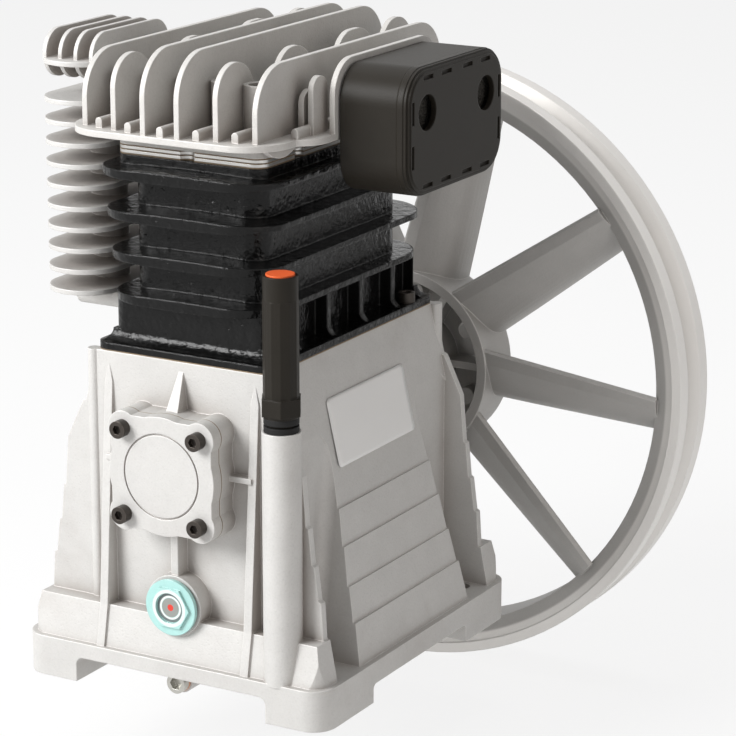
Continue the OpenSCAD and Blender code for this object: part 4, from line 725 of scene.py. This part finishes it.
class PUMP_OT_set_stage(PumpOperator):
    """Pale floor, soft lamps and the camera of the photograph"""

    bl_idname = "pump.set_stage"
    bl_label = "Floor, lamps and camera"

    def execute(self, context):
        studio = context.scene.pump_studio
        scene = context.scene
        self.add_floor(scene, studio)
        self.add_surroundings(scene, studio)
        target = Vector(studio.target)
        self.add_lamp(scene, "key_lamp", target, studio.key_power)
        self.add_lamp(scene, "fill_lamp", target, studio.fill_power, studio.fill_tint)
        self.add_lamp(scene, "top_lamp", target, studio.top_power)
        self.add_camera(scene, studio, target)
        scene.view_settings.view_transform = "Standard"
        return {"FINISHED"}

    def add_floor(self, scene, studio):
        """A flat disc: radius times the cosine and sine of the turn, closed by a fan in the middle."""
        radius = np.array(FLOOR_RADII)
        turn = np.linspace(0.0, 2.0 * np.pi, FLOOR_SIDES, endpoint=False)
        ring = np.stack([np.cos(turn), np.sin(turn), np.zeros_like(turn)], 1)
        points = np.concatenate([(radius[:, None, None] * ring[None]).reshape(-1, 3), [[0.0, 0.0, 0.0]]])
        points[:, 2] = studio.floor_z
        quads, fan = ring_faces(len(radius) - 1, len(turn))
        mesh = bpy.data.meshes.new("floor")
        mesh.from_pydata(points.tolist(), [], quads.tolist() + fan.tolist())
        material, paint = new_paint("pale_floor")
        names = ("Is Camera Ray", "Is Glossy Ray")
        seen = paint.math("MAXIMUM", *(paint.node("ShaderNodeLightPath", output=name) for name in names))
        dull = paint.node("ShaderNodeBsdfDiffuse", None, {"Color": tuple(studio.floor)})
        white = paint.node("ShaderNodeEmission", None, {"Color": (1.0, 1.0, 1.0), "Strength": 1.0})
        mixed = {0: seen * FLOOR_WHITE, 1: dull, 2: white}
        paint.node_output(paint.node("ShaderNodeMixShader", None, mixed))
        mesh.materials.append(material)
        floor = bpy.data.objects.new("floor", mesh)
        scene.collection.objects.link(floor)

    def add_surroundings(self, scene, studio):
        """A white backdrop for the camera, gloss and glass, and a weaker even light for dull surfaces."""
        world = bpy.data.worlds.new("surroundings")
        world.use_nodes = True
        paint = Paint(world.node_tree)
        names = ("Is Camera Ray", "Is Glossy Ray", "Is Transmission Ray")
        camera, glossy, through = (paint.node("ShaderNodeLightPath", output=name) for name in names)
        seen = paint.math("MAXIMUM", paint.math("MAXIMUM", camera, glossy), through)
        strength = seen * (1.0 - studio.ambient) + studio.ambient
        inputs = {"Color": (1.0, 1.0, 1.0), "Strength": strength}
        paint.node_output(paint.node("ShaderNodeBackground", None, inputs), "ShaderNodeOutputWorld")
        scene.world = world

    def add_lamp(self, scene, name, target, power, tint=(1.0, 1.0, 1.0)):
        """A round lamp that faces the camera's target."""
        offset, width = LAMP_PLACES[name]
        lamp = bpy.data.lights.new(name, "AREA")
        lamp.shape = "DISK"
        lamp.size = width
        lamp.energy = power
        lamp.color = tint
        holder = bpy.data.objects.new(name, lamp)
        holder.location = target + Vector(offset)
        holder.rotation_euler = (-Vector(offset)).to_track_quat("-Z", "Y").to_euler()
        scene.collection.objects.link(holder)

    def add_camera(self, scene, studio, target):
        lens = bpy.data.cameras.new("photo_camera")
        lens.lens = studio.lens
        lens.sensor_width = SENSOR_WIDTH
        lens.clip_start, lens.clip_end = CAMERA_REACH
        camera = bpy.data.objects.new("photo_camera", lens)
        camera.location = Vector(studio.camera)
        camera.rotation_euler = (target - camera.location).to_track_quat("-Z", "Y").to_euler()
        scene.collection.objects.link(camera)
        scene.camera = camera


OPERATORS = (
    PUMP_OT_dress_castings,
    PUMP_OT_dress_wheel,
    PUMP_OT_dress_block,
    PUMP_OT_dress_seals,
    PUMP_OT_dress_steel,
    PUMP_OT_dress_mouldings,
    PUMP_OT_dress_sight_glass,
    PUMP_OT_add_label,
    PUMP_OT_set_stage,
)


class PUMP_PT_looks(Panel):
    """Lists the steps and their sizes and colours."""

    bl_label = "Pump looks"
    bl_idname = "PUMP_PT_looks"
    bl_space_type = "VIEW_3D"
    bl_region_type = "UI"
    bl_category = "Pump"

    def draw(self, context):
        scene = context.scene
        for operator in OPERATORS:
            self.layout.operator(operator.bl_idname)
        for group in (scene.pump_finish, scene.pump_label, scene.pump_studio):
            box = self.layout.box()
            for name in group.__annotations__:
                box.prop(group, name)


CLASSES = (PumpFinish, LabelSizes, StudioSetup, *OPERATORS, PUMP_PT_looks)


def register():
    for kind in CLASSES:
        bpy.utils.register_class(kind)
    bpy.types.Scene.pump_finish = PointerProperty(type=PumpFinish)
    bpy.types.Scene.pump_label = PointerProperty(type=LabelSizes)
    bpy.types.Scene.pump_studio = PointerProperty(type=StudioSetup)


def unregister():
    del bpy.types.Scene.pump_studio
    del bpy.types.Scene.pump_label
    del bpy.types.Scene.pump_finish
    for kind in reversed(CLASSES):
        bpy.utils.unregister_class(kind)


def main():
    register()
    bpy.ops.pump.set_stage()
    bpy.ops.pump.dress_castings()
    bpy.ops.pump.dress_wheel()
    bpy.ops.pump.dress_block()
    bpy.ops.pump.dress_seals()
    bpy.ops.pump.dress_steel()
    bpy.ops.pump.dress_mouldings()
    bpy.ops.pump.dress_sight_glass()
    bpy.ops.pump.add_label()


if __name__ == "__main__":
    main()
